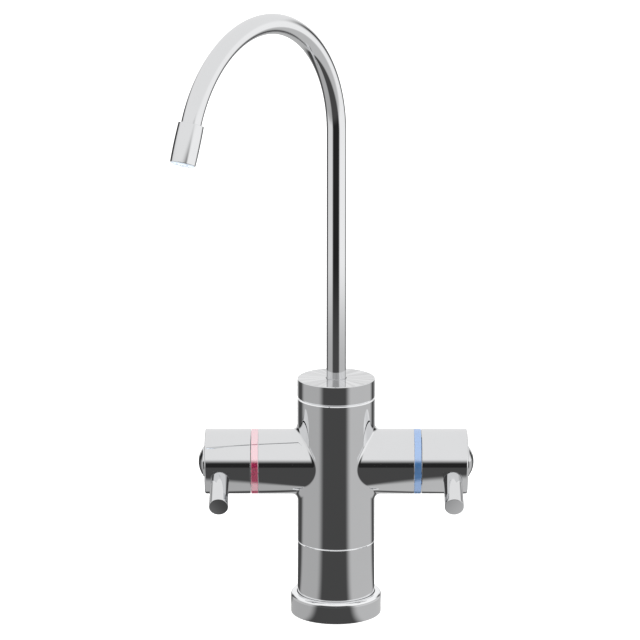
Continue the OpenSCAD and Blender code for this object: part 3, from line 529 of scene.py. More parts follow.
def bend_tree():
    """Geometry tree that bends an upright tube into a swan neck."""
    tree, enter, leave = new_tree(
        "swan_neck_bend", "GeometryNodeTree",
        (("Tube", "NodeSocketGeometry", None), ("Bend Start", "NodeSocketFloat", 0.3),
         ("Bend Radius", "NodeSocketFloat", 0.07), ("Bend Angle", "NodeSocketFloat", 2.7),
         ("Heading", "NodeSocketFloat", 0.0), ("Material", "NodeSocketMaterial", None)),
        (("Tube", "NodeSocketGeometry"),))
    tube, start, radius, angle, heading, material = enter.outputs[:6]
    m = partial(math_node, tree)
    place = add_node(tree, "ShaderNodeSeparateXYZ",
                     Vector=tree.nodes.new("GeometryNodeInputPosition").outputs[0])
    x, y, z = place.outputs
    east, north = m("COSINE", heading), m("SINE", heading)
    ahead = m("ADD", m("MULTIPLY", x, east), m("MULTIPLY", y, north))
    aside = m("SUBTRACT", m("MULTIPLY", y, east), m("MULTIPLY", x, north))
    past = m("MAXIMUM", m("SUBTRACT", z, start), 0.0)
    turned = m("MINIMUM", m("DIVIDE", past, radius), angle)
    tail = m("MAXIMUM", m("SUBTRACT", past, m("MULTIPLY", angle, radius)), 0.0)
    swing = m("SUBTRACT", radius, ahead)
    c, s = m("COSINE", turned), m("SINE", turned)
    reach = m("ADD", m("SUBTRACT", radius, m("MULTIPLY", swing, c)), m("MULTIPLY", tail, s))
    rise = m("ADD", m("MULTIPLY", swing, s), m("MULTIPLY", tail, c))
    moved = add_node(
        tree, "ShaderNodeCombineXYZ",
        X=m("SUBTRACT", m("MULTIPLY", reach, east), m("MULTIPLY", aside, north)),
        Y=m("ADD", m("MULTIPLY", reach, north), m("MULTIPLY", aside, east)),
        Z=m("ADD", m("MINIMUM", z, start), rise))
    bent = add_node(tree, "GeometryNodeSetPosition", Geometry=tube, Position=moved.outputs[0])
    finish_geometry(tree, bent.outputs[0], material, leave)
    return tree


def jet_tree():
    """Geometry tree that cuts a ring of jets and the notches between them into a plug."""
    tree, enter, leave = new_tree(
        "jets_and_notches", "GeometryNodeTree",
        (("Plug", "NodeSocketGeometry", None), ("Jet Count", "NodeSocketInt", 6),
         ("Jet Radius", "NodeSocketFloat", 0.001), ("Jet Circle", "NodeSocketFloat", 0.004),
         ("Plug Length", "NodeSocketFloat", 0.01), ("Notch Start", "NodeSocketFloat", 0.005),
         ("Notch Width", "NodeSocketFloat", 0.002), ("Notch Depth", "NodeSocketFloat", 0.001),
         ("Material", "NodeSocketMaterial", None)),
        (("Insert", "NodeSocketGeometry"),))
    plug, count, radius, circle, high, start, width, depth, material = enter.outputs[:9]
    m = partial(math_node, tree)
    drill = add_node(tree, "GeometryNodeMeshCylinder", Vertices=JET_SIDES, Radius=radius,
                     Depth=m("MULTIPLY", high, 3.0))
    block = add_node(tree, "GeometryNodeMeshCube",
                     Size=add_node(tree, "ShaderNodeCombineXYZ", X=high, Y=width,
                                   Z=m("MULTIPLY", depth, 2.0)).outputs[0])
    points = add_node(tree, "GeometryNodeMeshLine", {"mode": "OFFSET"}, Count=count,
                      Offset=(0.0, 0.0, 0.0))
    step = m("DIVIDE", 2 * pi, count)
    number = tree.nodes.new("GeometryNodeInputIndex").outputs[0]
    cutters = add_node(tree, "GeometryNodeJoinGeometry")
    for shape, out, up, offset in (
            (drill, circle, 0.0, 0.0),
            (block, m("ADD", start, m("DIVIDE", high, 2.0)), high, 0.5)):
        place = add_node(tree, "ShaderNodeCombineXYZ", X=out, Z=up)
        moved = add_node(tree, "GeometryNodeTransform", Geometry=shape.outputs[0],
                         Translation=place.outputs[0])
        turned = add_node(tree, "ShaderNodeCombineXYZ",
                          Z=m("MULTIPLY", m("ADD", number, offset), step))
        placed = add_node(tree, "GeometryNodeInstanceOnPoints", Points=points.outputs[0],
                          Instance=moved.outputs[0], Rotation=turned.outputs[0])
        tree.links.new(placed.outputs[0], cutters.inputs[0])
    tree.links.new(drill.outputs[0], cutters.inputs[0])
    solid = add_node(tree, "GeometryNodeRealizeInstances", Geometry=cutters.outputs[0])
    cut = add_node(tree, "GeometryNodeMeshBoolean", {"operation": "DIFFERENCE", "solver": "EXACT"},
                   Mesh_1=plug, Mesh_2=solid.outputs[0])
    finish_geometry(tree, cut.outputs[0], material, leave)
    return tree


# Finishes


# Bands that a lathe leaves for each of its rings
BAND_SHARE = 0.31
# Clouding of the chrome's tone, as scale, darkest and brightest, and that of its roughness
CHROME_TONE = (35.0, 0.985, 1.0)
CHROME_DULL = (90.0, 0.018, 0.04)
# How much brighter than the rest the painted highlight makes the chrome's bevels at its joints and
# at the flange's rim
PAINTED_HIGHLIGHT_LIFT = 0.22
# Depths under the cap's top face over which polish turns into satin
SATIN_START = 0.0002
SATIN_END = 0.00005
# Pitch and waver of the cap's tool rings, and the strength and depth of their relief
SATIN_RINGS = (0.00025, 0.3)
SATIN_RELIEF = (0.05, 0.000004)
# Roughness of the cap's side, what its top face adds to it, and what the top's bands add
SATIN_DULL = (0.025, 0.01, 0.06)
# Streaks of sheen painted as shade round the cap's top face, and the darkest painted shade among
# them
PAINTED_SHEEN_STREAKS = 22.0
PAINTED_SHEEN_DARKEST = -0.2
# How much roughness the bands of turned brass and steel add
BAND_DULL = 0.2
UP = (0.0, 0.0, 1.0)


def haze_group():
    """Shader group: a value that drifts softly over a surface, as hand polishing leaves it."""
    tree, enter, leave = new_tree(
        "polish_haze", "ShaderNodeTree",
        (("Vector", "NodeSocketVector", None), ("Scale", "NodeSocketFloat", 60.0),
         ("Low", "NodeSocketFloat", 0.0), ("High", "NodeSocketFloat", 1.0)),
        (("Value", "NodeSocketFloat"),))
    vector, scale, low, high = enter.outputs[:4]
    noise = add_node(tree, "ShaderNodeTexNoise", Vector=vector, Scale=scale, Detail=4.0,
                     Roughness=0.55)
    spread = add_node(tree, "ShaderNodeMapRange", Value=noise.outputs["Fac"], From_Min=0.32,
                      From_Max=0.68, To_Min=low, To_Max=high)
    tree.links.new(spread.outputs[0], leave.inputs[0])
    return tree


def tool_ring_group():
    """Shader group: the fine rings that a lathe tool leaves, and the broad bands among them."""
    tree, enter, leave = new_tree(
        "tool_rings", "ShaderNodeTree",
        (("Vector", "NodeSocketVector", None), ("Distance", "NodeSocketFloat", 0.0),
         ("Pitch", "NodeSocketFloat", 0.0002), ("Waver", "NodeSocketFloat", 0.4)),
        (("Height", "NodeSocketFloat"), ("Shade", "NodeSocketFloat")))
    vector, distance, pitch, waver = enter.outputs[:4]
    noise = add_node(tree, "ShaderNodeTexNoise", Vector=vector, Scale=900.0, Detail=2.0)
    place = math_node(tree, "DIVIDE", distance, pitch)
    shaken = math_node(tree, "MULTIPLY_ADD", noise.outputs["Fac"], waver, place)
    wave = math_node(tree, "SINE", math_node(tree, "MULTIPLY", shaken, 2 * pi))
    tree.links.new(math_node(tree, "MULTIPLY_ADD", wave, 0.5, 0.5), leave.inputs[0])
    bands = add_node(tree, "ShaderNodeTexNoise", {"noise_dimensions": "1D"},
                     W=math_node(tree, "MULTIPLY", place, BAND_SHARE), Scale=1.0, Detail=3.0)
    tree.links.new(bands.outputs["Fac"], leave.inputs[1])
    return tree


class Finish:
    """A material of one Principled shader, whose fixed values stand on the shader's own sockets."""

    def __init__(self, name, color, **values):
        self.material = bpy.data.materials.new(name)
        self.material.use_nodes = True
        self.tree = self.material.node_tree
        self.shader = self.tree.nodes["Principled BSDF"]
        self.color = (*color, 1.0)
        self.shader.inputs["Base Color"].default_value = self.color
        for key, value in values.items():
            self.shader.inputs[key.replace("_", " ")].default_value = value
        self.place = self.tree.nodes.new("ShaderNodeTexCoord").outputs["Object"]

    def haze(self, scale, low, high):
        """A value that drifts between low and high."""
        return group_node(self.tree, "polish_haze", Vector=self.place, Scale=scale, Low=low,
                          High=high).outputs[0]

    def rings(self, distance, pitch, waver):
        """Relief and bands of tool rings along a distance."""
        return group_node(self.tree, "tool_rings", Vector=self.place, Distance=distance,
                          Pitch=pitch, Waver=waver).outputs

    def along(self, axis):
        """Distance along an axis through the middle of the tap."""
        dot = add_node(self.tree, "ShaderNodeVectorMath", {"operation": "DOT_PRODUCT"},
                       Vector=self.place)
        dot.inputs[1].default_value = axis
        return dot.outputs["Value"]

    def from_axis(self):
        """Distance from the body's axis."""
        flat = add_node(self.tree, "ShaderNodeVectorMath", {"operation": "MULTIPLY"},
                        Vector=self.place)
        flat.inputs[1].default_value = (1.0, 1.0, 0.0)
        return length_of(self.tree, flat.outputs[0])

    def shade(self, amount):
        """Darken the colour by a factor that changes over the surface."""
        mixed = mix_colors(self.tree, 1.0, self.color, amount, "MULTIPLY")
        self.tree.links.new(mixed, self.shader.inputs["Base Color"])
        return self

    def rough(self, amount):
        """Let the roughness follow a value."""
        feed(self.tree, amount, self.shader.inputs["Roughness"])
        return self

    def bump(self, height, strength, depth):
        """Give the surface a fine relief."""
        node = add_node(self.tree, "ShaderNodeBump", Strength=strength, Distance=depth,
                        Height=height)
        self.tree.links.new(node.outputs[0], self.shader.inputs["Normal"])
        return self


def painted_highlight_mask(finish):
    """Mask of the bevels at the joints and at the flange's rim, where a highlight is painted into
    the chrome's colour.
    """
    s = bpy.context.scene.tap_body
    tree = finish.tree
    height = finish.along(UP)
    rim = s.flange_height - s.flange_edge / 2
    outside = math_node(tree, "GREATER_THAN", finish.from_axis(), s.flange_well)
    masks = []
    for middle, half in ((s.cap_joint, s.cap_joint_edge), (s.sleeve_joint, s.sleeve_joint_edge),
                         (rim, s.flange_edge)):
        away = math_node(tree, "ABSOLUTE", math_node(tree, "SUBTRACT", height, middle))
        masks.append(math_node(tree, "LESS_THAN", away, half))
    masks[2] = math_node(tree, "MULTIPLY", masks[2], outside)
    return math_node(tree, "ADD", math_node(tree, "ADD", masks[0], masks[1]), masks[2], clamp=True)


def make_chrome(color):
    """Polished chrome, faintly clouded, with a highlight painted into its colour on the bevels at
    the joints and at the flange's rim.
    """
    chrome = Finish("polished_chrome_plate", color, Metallic=1.0)
    # Painted highlight: the colour is lifted on the joint bevels and the flange's rim, on top of
    # the random haze of its tone
    tone = math_node(chrome.tree, "MULTIPLY_ADD", painted_highlight_mask(chrome), PAINTED_HIGHLIGHT_LIFT,
                     chrome.haze(*CHROME_TONE))
    chrome.shade(tone).rough(chrome.haze(*CHROME_DULL))


def make_satin(color):
    """Chrome of the top cap, whose upper face has fine rings and a radial sheen painted into its
    colour as streaks of shade.
    """
    satin = Finish("satin_turned_chrome", color, Metallic=1.0)
    tree = satin.tree
    cap_top = bpy.context.scene.tap_body.cap_top
    top = add_node(tree, "ShaderNodeMapRange", Value=satin.along(UP),
                   From_Min=cap_top - SATIN_START, From_Max=cap_top - SATIN_END).outputs[0]
    height, bands = satin.rings(satin.from_axis(), *SATIN_RINGS)
    side_dull, top_dull, band_dull = SATIN_DULL
    dull = math_node(tree, "MULTIPLY_ADD", bands, band_dull, top_dull)
    satin.rough(math_node(tree, "MULTIPLY_ADD", top, dull, side_dull))
    # Painted sheen: streaks of shade painted round the top face's colour in place of the sheen that
    # light gives a turned face
    around = add_node(tree, "ShaderNodeTexGradient", {"gradient_type": "RADIAL"},
                      Vector=satin.place).outputs["Fac"]
    painted_sheen_noise = add_node(tree, "ShaderNodeTexNoise", {"noise_dimensions": "1D"},
                     W=math_node(tree, "MULTIPLY", around, PAINTED_SHEEN_STREAKS), Scale=1.0, Detail=4.0)
    painted_sheen_shade = add_node(tree, "ShaderNodeMapRange", Value=painted_sheen_noise.outputs["Fac"], From_Min=0.4,
                      From_Max=0.6, To_Min=PAINTED_SHEEN_DARKEST, To_Max=0.0).outputs[0]
    # The painted sheen darkens only the top face's colour, on top of the random haze of its tone
    satin.shade(math_node(tree, "MULTIPLY_ADD", top, painted_sheen_shade, satin.haze(*CHROME_TONE)))
    satin.bump(math_node(tree, "MULTIPLY", height, top), *SATIN_RELIEF)


def make_turned_metal(name, color, axis, rings, tone, relief, dull):
    """Metal with tool rings along an axis.

    Rings are a pitch and a waver, tone is a scale, a lowest and a highest value, and relief is
    a strength and a depth. Dull is the least roughness."""
    metal = Finish(name, color, Metallic=1.0)
    height, bands = metal.rings(metal.along(axis), *rings)
    metal.shade(metal.haze(*tone)).bump(height, *relief)
    metal.rough(math_node(metal.tree, "MULTIPLY_ADD", bands, BAND_DULL, dull))


def make_drifting(name, color, tone, dull, grain=None, **values):
    """Finish whose tone and roughness drift, and that may have a grain.

    Tone and dull are a scale, a lowest and a highest value, and grain is a scale, a strength
    and a depth. Other values are the shader's own."""
    finish = Finish(name, color, **values)
    finish.shade(finish.haze(*tone)).rough(finish.haze(*dull))
    if grain:
        scale, strength, depth = grain
        finish.bump(finish.haze(scale, 0.0, 1.0), strength, depth)


def make_finishes():
    """Make every material of the tap."""
    colors = bpy.context.scene.tap_finishes
    haze_group()
    tool_ring_group()
    make_chrome(colors.chrome)
    make_satin(colors.chrome)

    # A strong clear coat over plain red, and over blue that is part metal
    coat = {"Coat_Weight": 1.0, "Coat_Roughness": 0.03, "Coat_IOR": 4.0}
    make_drifting("red_anodised", colors.red_ring, (60.0, 0.94, 1.0), (90.0, 0.05, 0.08),
                  IOR=8.5, **coat)
    make_drifting("blue_anodised", colors.blue_ring, (60.0, 0.94, 1.0), (90.0, 0.27, 0.33),
                  Metallic=0.6, IOR=1.5, **coat)

    for way, axis in (("upright", UP), ("level", (1.0, 0.0, 0.0))):
        make_turned_metal(f"turned_brass_{way}", colors.brass, axis, (0.0003, 0.25),
                          (120.0, 0.82, 1.0), (0.3, 0.00001), 0.16)
    make_turned_metal("drawn_stainless", colors.stainless, (0.577, 0.577, 0.577),
                      (0.00012, 0.6), (300.0, 0.85, 1.0), (0.2, 0.000005), 0.2)

    make_drifting("moulded_rubber", colors.rubber, (400.0, 0.75, 1.0), (900.0, 0.55, 0.8),
                  (2500.0, 0.3, 0.00002), Specular_IOR_Level=0.35)
    make_drifting("lapped_ceramic", colors.ceramic, (250.0, 0.95, 1.0), (800.0, 0.12, 0.22))
    make_drifting("slide_ring_plastic", colors.plastic, (200.0, 0.93, 1.0), (600.0, 0.35, 0.5))
    make_drifting("pale_insert_plastic", colors.insert, (350.0, 0.93, 1.0), (900.0, 0.25, 0.4),
                  (1800.0, 0.15, 0.00001))


# Pieces


# The hot and the cold side, each with its name and its way along X
SIDES = (("hot", -1), ("cold", 1))


def arm_place(side, first=(0.0, 1.0, 0.0)):
    """Place on the arms' axis that looks outwards on one side."""
    return Place((0.0, 0.0, bpy.context.scene.tap_arms.arm_height), first, (side, 0.0, 0.0))


def lever_way():
    """The way that a closed lever points."""
    drop = bpy.context.scene.tap_handles.lever_drop
    return (0.0, -cos(drop), -sin(drop))


class TapOperator(bpy.types.Operator):
    """Shared by the operators of this tap"""
    bl_options = {"REGISTER", "UNDO"}


class TAP_OT_finishes(TapOperator):
    """Make the chrome, the anodised colours, brass, steel, rubber, ceramic and plastic"""
    bl_idname = "tap.finishes"
    bl_label = "Finishes"

    def execute(self, context):
        make_finishes()
        return {"FINISHED"}


class TAP_OT_base(TapOperator):
    """Turn the base flange and the lower sleeve"""
    bl_idname = "tap.base"
    bl_label = "Base Flange and Sleeve"

    def execute(self, context):
        s = context.scene.tap_body
        inner, outer, depth = FLANGE_GASKET_GROOVE
        flange = Shell()
        flange.turn(UPRIGHT, profile(
            (s.flange_radius, 0.0, s.fine_edge), (s.flange_radius, s.flange_height, s.flange_edge),
            (s.flange_well, s.flange_height, HAIR_EDGE), (s.flange_well, s.sleeve_bottom),
            (s.flange_foot, s.sleeve_bottom), (s.flange_foot, 0.0), (inner, 0.0), (inner, depth),
            (outer, depth), (outer, 0.0), closed=True))
        put_chrome(flange, "tap_body", "base_flange")
        sleeve = Shell()
        sleeve.turn(UPRIGHT, profile(
            (s.body_radius, s.sleeve_bottom, s.fine_edge),
            *bevel(s.body_radius, s.sleeve_joint, s.sleeve_joint_edge, -1, -1),
            (s.sleeve_bore, s.sleeve_joint), (s.sleeve_bore, s.sleeve_bottom), closed=True))
        put_chrome(sleeve, "tap_body", "lower_sleeve")
        return {"FINISHED"}


class TAP_OT_valve_body(TapOperator):
    """Build the valve body: barrel, arms, rolling-ball fillets, spigot and neck"""
    bl_idname = "tap.valve_body"
    bl_label = "Valve Body"

    def execute(self, context):
        s, a = context.scene.tap_body, context.scene.tap_arms
        shell = Shell()
        ball = a.arm_radius + a.fillet_radius
        path = s.body_radius + a.fillet_radius
        share = s.body_radius / path
        across, up = half_circle()
        turns = np.arcsin(ball * share * across / s.body_radius)
        openings = [(side_angle, a.arm_height, turns, ball * up) for side_angle in (0.0, pi)]

        groove_low, groove_high, groove_radius = SEAL_GROOVE
        below = profile(
            (0.0, s.spigot_bottom), (s.spigot_radius, s.spigot_bottom),
            (s.spigot_radius, groove_low), (groove_radius, groove_low),
            (groove_radius, groove_high), (s.spigot_radius, groove_high),
            (s.spigot_radius, s.sleeve_joint),
            *bevel(s.body_radius, s.sleeve_joint, s.sleeve_joint_edge, -1, 1),
            (s.body_radius, a.arm_height))
        above = profile(
            (s.body_radius, a.arm_height),
            *bevel(s.body_radius, s.cap_joint, s.cap_joint_edge, -1, -1),
            (s.neck_radius, s.cap_joint), (s.neck_radius, s.neck_top),
            (s.neck_recess, s.neck_top), (s.neck_recess, s.neck_recess_floor),
            (s.socket_radius, s.neck_recess_floor), (s.socket_radius, s.socket_floor),
            (0.0, s.socket_floor))
        columns = pierced_wall(shell, UPRIGHT, s.body_radius, below[-1][0][1], above[0][1][1],
                               openings)
        shell.turn(UPRIGHT, below[:-1] + above[1:], columns)

        angles = round_angles(2 * OPENING_STEPS)
        c, k = np.cos(angles), np.sin(angles)
        reach = np.sqrt(path ** 2 - (ball * c) ** 2)
        for _, side in SIDES:
            place = arm_place(side)
            self.fillet(shell, place, c, k, reach, a)
            rows = np.stack([reach, np.full_like(reach, a.arm_reach - s.fine_edge)])
            shell.add(place.points(grid(a.arm_radius * c, a.arm_radius * k, rows)),
                      place.ways(grid(c, k, np.zeros_like(rows))))
            end = profile(
                (a.arm_radius, path), (a.arm_radius, a.arm_reach, s.fine_edge),
                (a.ring_spigot, a.arm_reach), (a.ring_spigot, a.ring_spigot_end),
                (a.recess_radius, a.ring_spigot_end), (a.recess_radius, a.recess_floor),
                (a.thread_radius, a.recess_floor), (a.thread_radius, a.thread_end),
                (a.chamber_radius, a.thread_end), (a.chamber_radius, a.chamber_end),
                (0.0, a.chamber_end))
            shell.turn(place, end[1:], angles)
        put_chrome(shell, "tap_body", "valve_body")
        return {"FINISHED"}

    @staticmethod
    def fillet(shell, place, c, k, reach, sizes):
        """Surface that a ball leaves as it rolls in the corner of arm and body."""
        ball = sizes.arm_radius + sizes.fillet_radius
        centres = grid(ball * c, ball * k, reach)
        to_body = grid(-ball * c, 0.0, -reach)
        to_body /= np.linalg.norm(to_body, axis=-1, keepdims=True)
        to_arm = grid(-c, -k, np.zeros_like(c))
        between = np.arccos((to_body * to_arm).sum(axis=-1))[:, None]
        rows, ways = [], []
        for share in np.linspace(0.0, 1.0, FILLET_ROWS + 1):
            way = (np.sin((1 - share) * between) * to_body + np.sin(share * between) * to_arm)
            way /= np.sin(between)
            rows.append(centres + sizes.fillet_radius * way)
            ways.append(-way)
        shell.add(place.points(np.stack(rows)), place.ways(np.stack(ways)))


class TAP_OT_top_cap(TapOperator):
    """Turn the top cap with its fine tool rings"""
    bl_idname = "tap.top_cap"
    bl_label = "Top Cap"

    def execute(self, context):
        s = context.scene.tap_body
        cap = Shell()
        cap.turn(UPRIGHT, profile(
            *bevel(s.body_radius, s.cap_joint, s.cap_joint_edge, -1, 1),
            *bevel(s.body_radius, s.cap_top, s.cap_edge, -1.6, -1),
            (s.cap_hole, s.cap_top, s.fine_edge), (s.cap_hole, s.cap_roof),
            (s.cap_bore, s.cap_roof), (s.cap_bore, s.cap_joint), closed=True))
        put("satin_top_cap", cap.mesh("satin_top_cap"), "tap_body", "satin_chrome",
            "satin_turned_chrome", "top_cap")
        return {"FINISHED"}


class TAP_OT_spout(TapOperator):
    """Bend the spout tube and turn the collar on its outlet end"""
    bl_idname = "tap.spout"
    bl_label = "Spout Tube and Collar"

    def execute(self, context):
        p = context.scene.tap_spout
        arc_end = p.bend_start + p.bend_angle * p.bend_radius
        tube = Shell()
        runs = profile(
            (p.tube_radius, p.tube_bottom), (p.tube_radius, arc_end), (p.tail_radius, arc_end),
            (p.tail_radius, arc_end + p.tail_length), (p.tail_bore, arc_end + p.tail_length),
            (p.tail_bore, arc_end), (p.tube_bore, arc_end), (p.tube_bore, p.tube_bottom),
            closed=True)
        # The first run is the outer wall and the seventh the bore, both with rows along the bend
        steps = np.linspace(p.bend_start, arc_end, BEND_STEPS + 1)
        for i, way, stations in ((0, 1.0, [p.tube_bottom, *steps]),
                                 (6, -1.0, [*steps[::-1], p.tube_bottom])):
            runs[i] = [(runs[i][0][0], station, way, 0.0) for station in stations]
        tube.turn(UPRIGHT, runs, round_angles(SMALL_STEPS))
        bent = through_nodes(
            tube.mesh("chrome_spout_tube"), bend_tree(), Bend_Start=p.bend_start,
            Bend_Radius=p.bend_radius, Bend_Angle=p.bend_angle, Heading=p.heading,
            Material=bpy.data.materials["polished_chrome_plate"])
        put("chrome_spout_tube", bent, "spout", "polished_chrome", "polished_chrome_plate",
            "spout_tube")
        collar = Shell()
        end = p.collar_radius - p.collar_crown
        edge = context.scene.tap_body.fine_edge
        runs = profile(
            (end, 0.0, edge), (end, p.collar_length, edge),
            (p.collar_mouth, p.collar_length, HAIR_EDGE), (p.collar_mouth, p.tail_length),
            (p.collar_bore, p.tail_length), (p.collar_bore, 0.0), closed=True)
        runs[0] = self.swell(runs[0][0][1], runs[0][1][1], end, p.collar_crown)
        collar.turn(outlet_place(), runs)
        put_chrome(collar, "spout", "outlet_collar")
        return {"FINISHED"}

    @staticmethod
    def swell(start, end, radius, crown):
        """Run of a wall that swells softly in its middle."""
        run = []
        for share in np.linspace(-1.0, 1.0, CURVE_POINTS):
            slope = -4 * crown * share / (end - start)
            size = sqrt(1 + slope ** 2)
            run.append((radius + crown * (1 - share ** 2), start + (end - start) * (share + 1) / 2,
                        1 / size, -slope / size))
        return run


def outlet_place():
    """Place at the end of the tube's bend, looking the way that the water runs."""
    p = bpy.context.scene.tap_spout
    ahead = Vector((cos(p.heading), sin(p.heading), 0.0))
    up = Vector((0.0, 0.0, 1.0))
    end = ahead * p.bend_radius * (1 - cos(p.bend_angle))
    end += up * (p.bend_start + p.bend_radius * sin(p.bend_angle))
    way = ahead * sin(p.bend_angle) + up * cos(p.bend_angle)
    return Place(end, (-ahead.y, ahead.x, 0.0), way)


class TAP_OT_flow_straightener(TapOperator):
    """Cut the jets and the notches of the pale insert in the outlet"""
    bl_idname = "tap.flow_straightener"
    bl_label = "Flow Straightener"

    def execute(self, context):
        p = context.scene.tap_spout
        plug = Shell()
        # Half a step of turn, so that no corner of a jet falls on the edge of a facet
        angles = round_angles(SMALL_STEPS) + pi / SMALL_STEPS
        edge = context.scene.tap_body.fine_edge
        plug.turn(UPRIGHT, profile(
            (p.cup_radius, 0.0), (p.insert_radius, 0.0), (p.insert_radius, p.insert_length, edge),
            (0.0, p.insert_length)), angles)
        plug.turn(UPRIGHT, profile(
            (0.0, p.cup_depth), (p.cup_radius, p.cup_depth), (p.cup_radius, 0.0)), angles)
        made = through_nodes(
            plug.mesh("pale_flow_straightener"), jet_tree(), Jet_Count=p.jet_count,
            Jet_Radius=p.jet_radius, Jet_Circle=p.jet_circle, Plug_Length=p.insert_length,
            Notch_Start=p.notch_start, Notch_Width=p.notch_width, Notch_Depth=p.notch_depth,
            Material=bpy.data.materials["pale_insert_plastic"])
        place = outlet_place()
        made.transform(place.matrix() @ Matrix.Translation((0.0, 0.0, p.insert_start)))
        made.set_sharp_from_angle(angle=SHARP_ANGLE)
        put("pale_flow_straightener", made, "spout", "pale_insert", "pale_insert_plastic",
            "flow_straightener")
        return {"FINISHED"}


class TAP_OT_colour_rings(TapOperator):
    """Turn the red hot ring and the blue cold ring"""
    bl_idname = "tap.colour_rings"
    bl_label = "Colour Rings"

    def execute(self, context):
        a, edge = context.scene.tap_arms, context.scene.tap_body.fine_edge
        for (name, side), tone in zip(SIDES, ("red", "blue")):
            ring = Shell()
            end = a.arm_reach + a.ring_width
            ring.turn(arm_place(side), profile(
                (a.arm_radius, a.arm_reach, edge), (a.arm_radius, end, edge),
                (a.ring_bore, end), (a.ring_bore, a.arm_reach), closed=True))
            label = f"{tone}_{name}_ring"
            piece = put(label, ring.mesh(label), "tap_body", f"{tone}_ring", f"{tone}_anodised",
                        f"{name}_ring")
            piece.visible_glossy = False
        return {"FINISHED"}


class TAP_OT_knobs(TapOperator):
    """Build both knobs with their lever pockets, cavities and cap seats"""
    bl_idname = "tap.knobs"
    bl_label = "Knobs"

    def execute(self, context):
        for name, side in SIDES:
            put_chrome(self.knob(context, side), f"{name}_handle", f"{name}_knob")
        return {"FINISHED"}

    def knob(self, context, side):
        """The surface of one knob."""
        h, radius = context.scene.tap_handles, context.scene.tap_arms.arm_radius
        fine = context.scene.tap_body.fine_edge
        place = arm_place(side, lever_way())
        end = h.knob_start + h.knob_length
        shell = Shell()
        rim = h.lever_pocket + h.pocket_edge
        across, up = half_circle()
        opening = (0.0, h.lever_place, np.arcsin(rim * across / radius), rim * up)
        columns = pierced_wall(shell, place, radius, h.knob_start + fine, end - h.knob_edge,
                               [opening])
        shell.turn(place, profile(
            (radius, h.lever_place), (radius, end, h.knob_edge), (h.cap_seat, end, SEAT_EDGE),
            (h.cap_seat, h.cap_seat_floor), (h.screw_recess, h.cap_seat_floor),
            (h.screw_recess, h.screw_seat), (h.screw_hole, h.screw_seat),
            (h.screw_hole, h.spindle_bore_end), (h.spindle_bore, h.spindle_bore_end),
            (h.spindle_bore, h.cavity_floor), (h.cavity_radius, h.cavity_floor),
            (h.cavity_radius, h.knob_start), (radius, h.knob_start, fine),
            (radius, h.lever_place))[1:-1], columns)
        self.pocket(shell, place, side, h, radius)
        return shell

    @staticmethod
    def pocket(shell, place, side, h, radius):
        """The pocket that a lever sits in, with its rounded edge and the bore for the stud."""
        angles = round_angles(2 * OPENING_STEPS)
        c, k = np.cos(angles), np.sin(angles)
        rim = h.lever_pocket + h.pocket_edge
        rise = np.sqrt(radius ** 2 - (rim * c) ** 2)
        points, ways = [], []
        for bend in np.linspace(0.0, pi / 2, POCKET_EDGE_POINTS):
            out = h.lever_pocket + h.pocket_edge * (1 - sin(bend))
            points.append(grid(rise - h.pocket_edge * (1 - cos(bend)), out * c,
                               h.lever_place + out * k))
            way = grid(cos(bend) * rise / radius, cos(bend) * rim * c / radius - sin(bend) * c,
                       -sin(bend) * k)
            ways.append(way / np.linalg.norm(way, axis=-1, keepdims=True))
        shell.add(place.points(np.stack(points)), place.ways(np.stack(ways)))
        depths = np.stack([rise - h.pocket_edge, np.full_like(rise, h.lever_seat)])
        wall = grid(depths, h.lever_pocket * c, h.lever_place + h.lever_pocket * k)
        shell.add(place.points(wall), place.ways(grid(np.zeros_like(depths), -c, -k)))
        across, out = place.axes[1], place.axes[2]
        hole = Place(place.origin + out * h.lever_place, across, place.axes[0])
        shell.turn(hole, profile(
            (h.lever_pocket, radius), (h.lever_pocket, h.lever_seat), (h.stud_bore, h.lever_seat),
            (h.stud_bore, h.stud_bore_floor), (0.0, h.stud_bore_floor))[1:], angles)


class TAP_OT_levers(TapOperator):
    """Turn the two pin-shaped levers"""
    bl_idname = "tap.levers"
    bl_label = "Levers"

    def execute(self, context):
        h, radius = context.scene.tap_handles, context.scene.tap_arms.arm_radius
        for name, side in SIDES:
            origin = (side * h.lever_place, 0.0, context.scene.tap_arms.arm_height)
            lever = Shell()
            lever.turn(Place(origin, (1.0, 0.0, 0.0), lever_way()), profile(
                (0.0, h.stud_end), (h.stud_radius, h.stud_end), (h.stud_radius, h.lever_seat),
                (h.lever_root, h.lever_seat), (h.lever_root, radius, LEVER_BLEND),
                (h.lever_tip, h.lever_reach, h.lever_edge), (0.0, h.lever_reach)))
            put_chrome(lever, f"{name}_handle", f"{name}_lever")
        return {"FINISHED"}


class TAP_OT_end_caps(TapOperator):
    """Turn the domed caps on the outer ends of the knobs"""
    bl_idname = "tap.end_caps"
    bl_label = "End Caps"

    def execute(self, context):
        h, edge = context.scene.tap_handles, context.scene.tap_body.fine_edge
        seat = h.knob_start + h.knob_length
        rim_top = seat + h.cap_rim_height
        ball = (h.dome_radius ** 2 + h.dome_height ** 2) / (2 * h.dome_height)
        centre = rim_top + h.dome_height - ball
        dome = [(ball * sin(angle), centre + ball * cos(angle), sin(angle), cos(angle))
                for angle in np.linspace(asin(h.dome_radius / ball), 0.0, CURVE_POINTS)]
        for name, side in SIDES:
            cap = Shell()
            cap.turn(arm_place(side), profile(
                (0.0, seat - h.cap_stem_length), (h.cap_stem, seat - h.cap_stem_length),
                (h.cap_stem, seat), (h.cap_rim, seat), (h.cap_rim, rim_top, edge),
                (h.dome_radius, rim_top)) + [dome])
            put_chrome(cap, f"{name}_handle", f"{name}_end_cap")
        return {"FINISHED"}


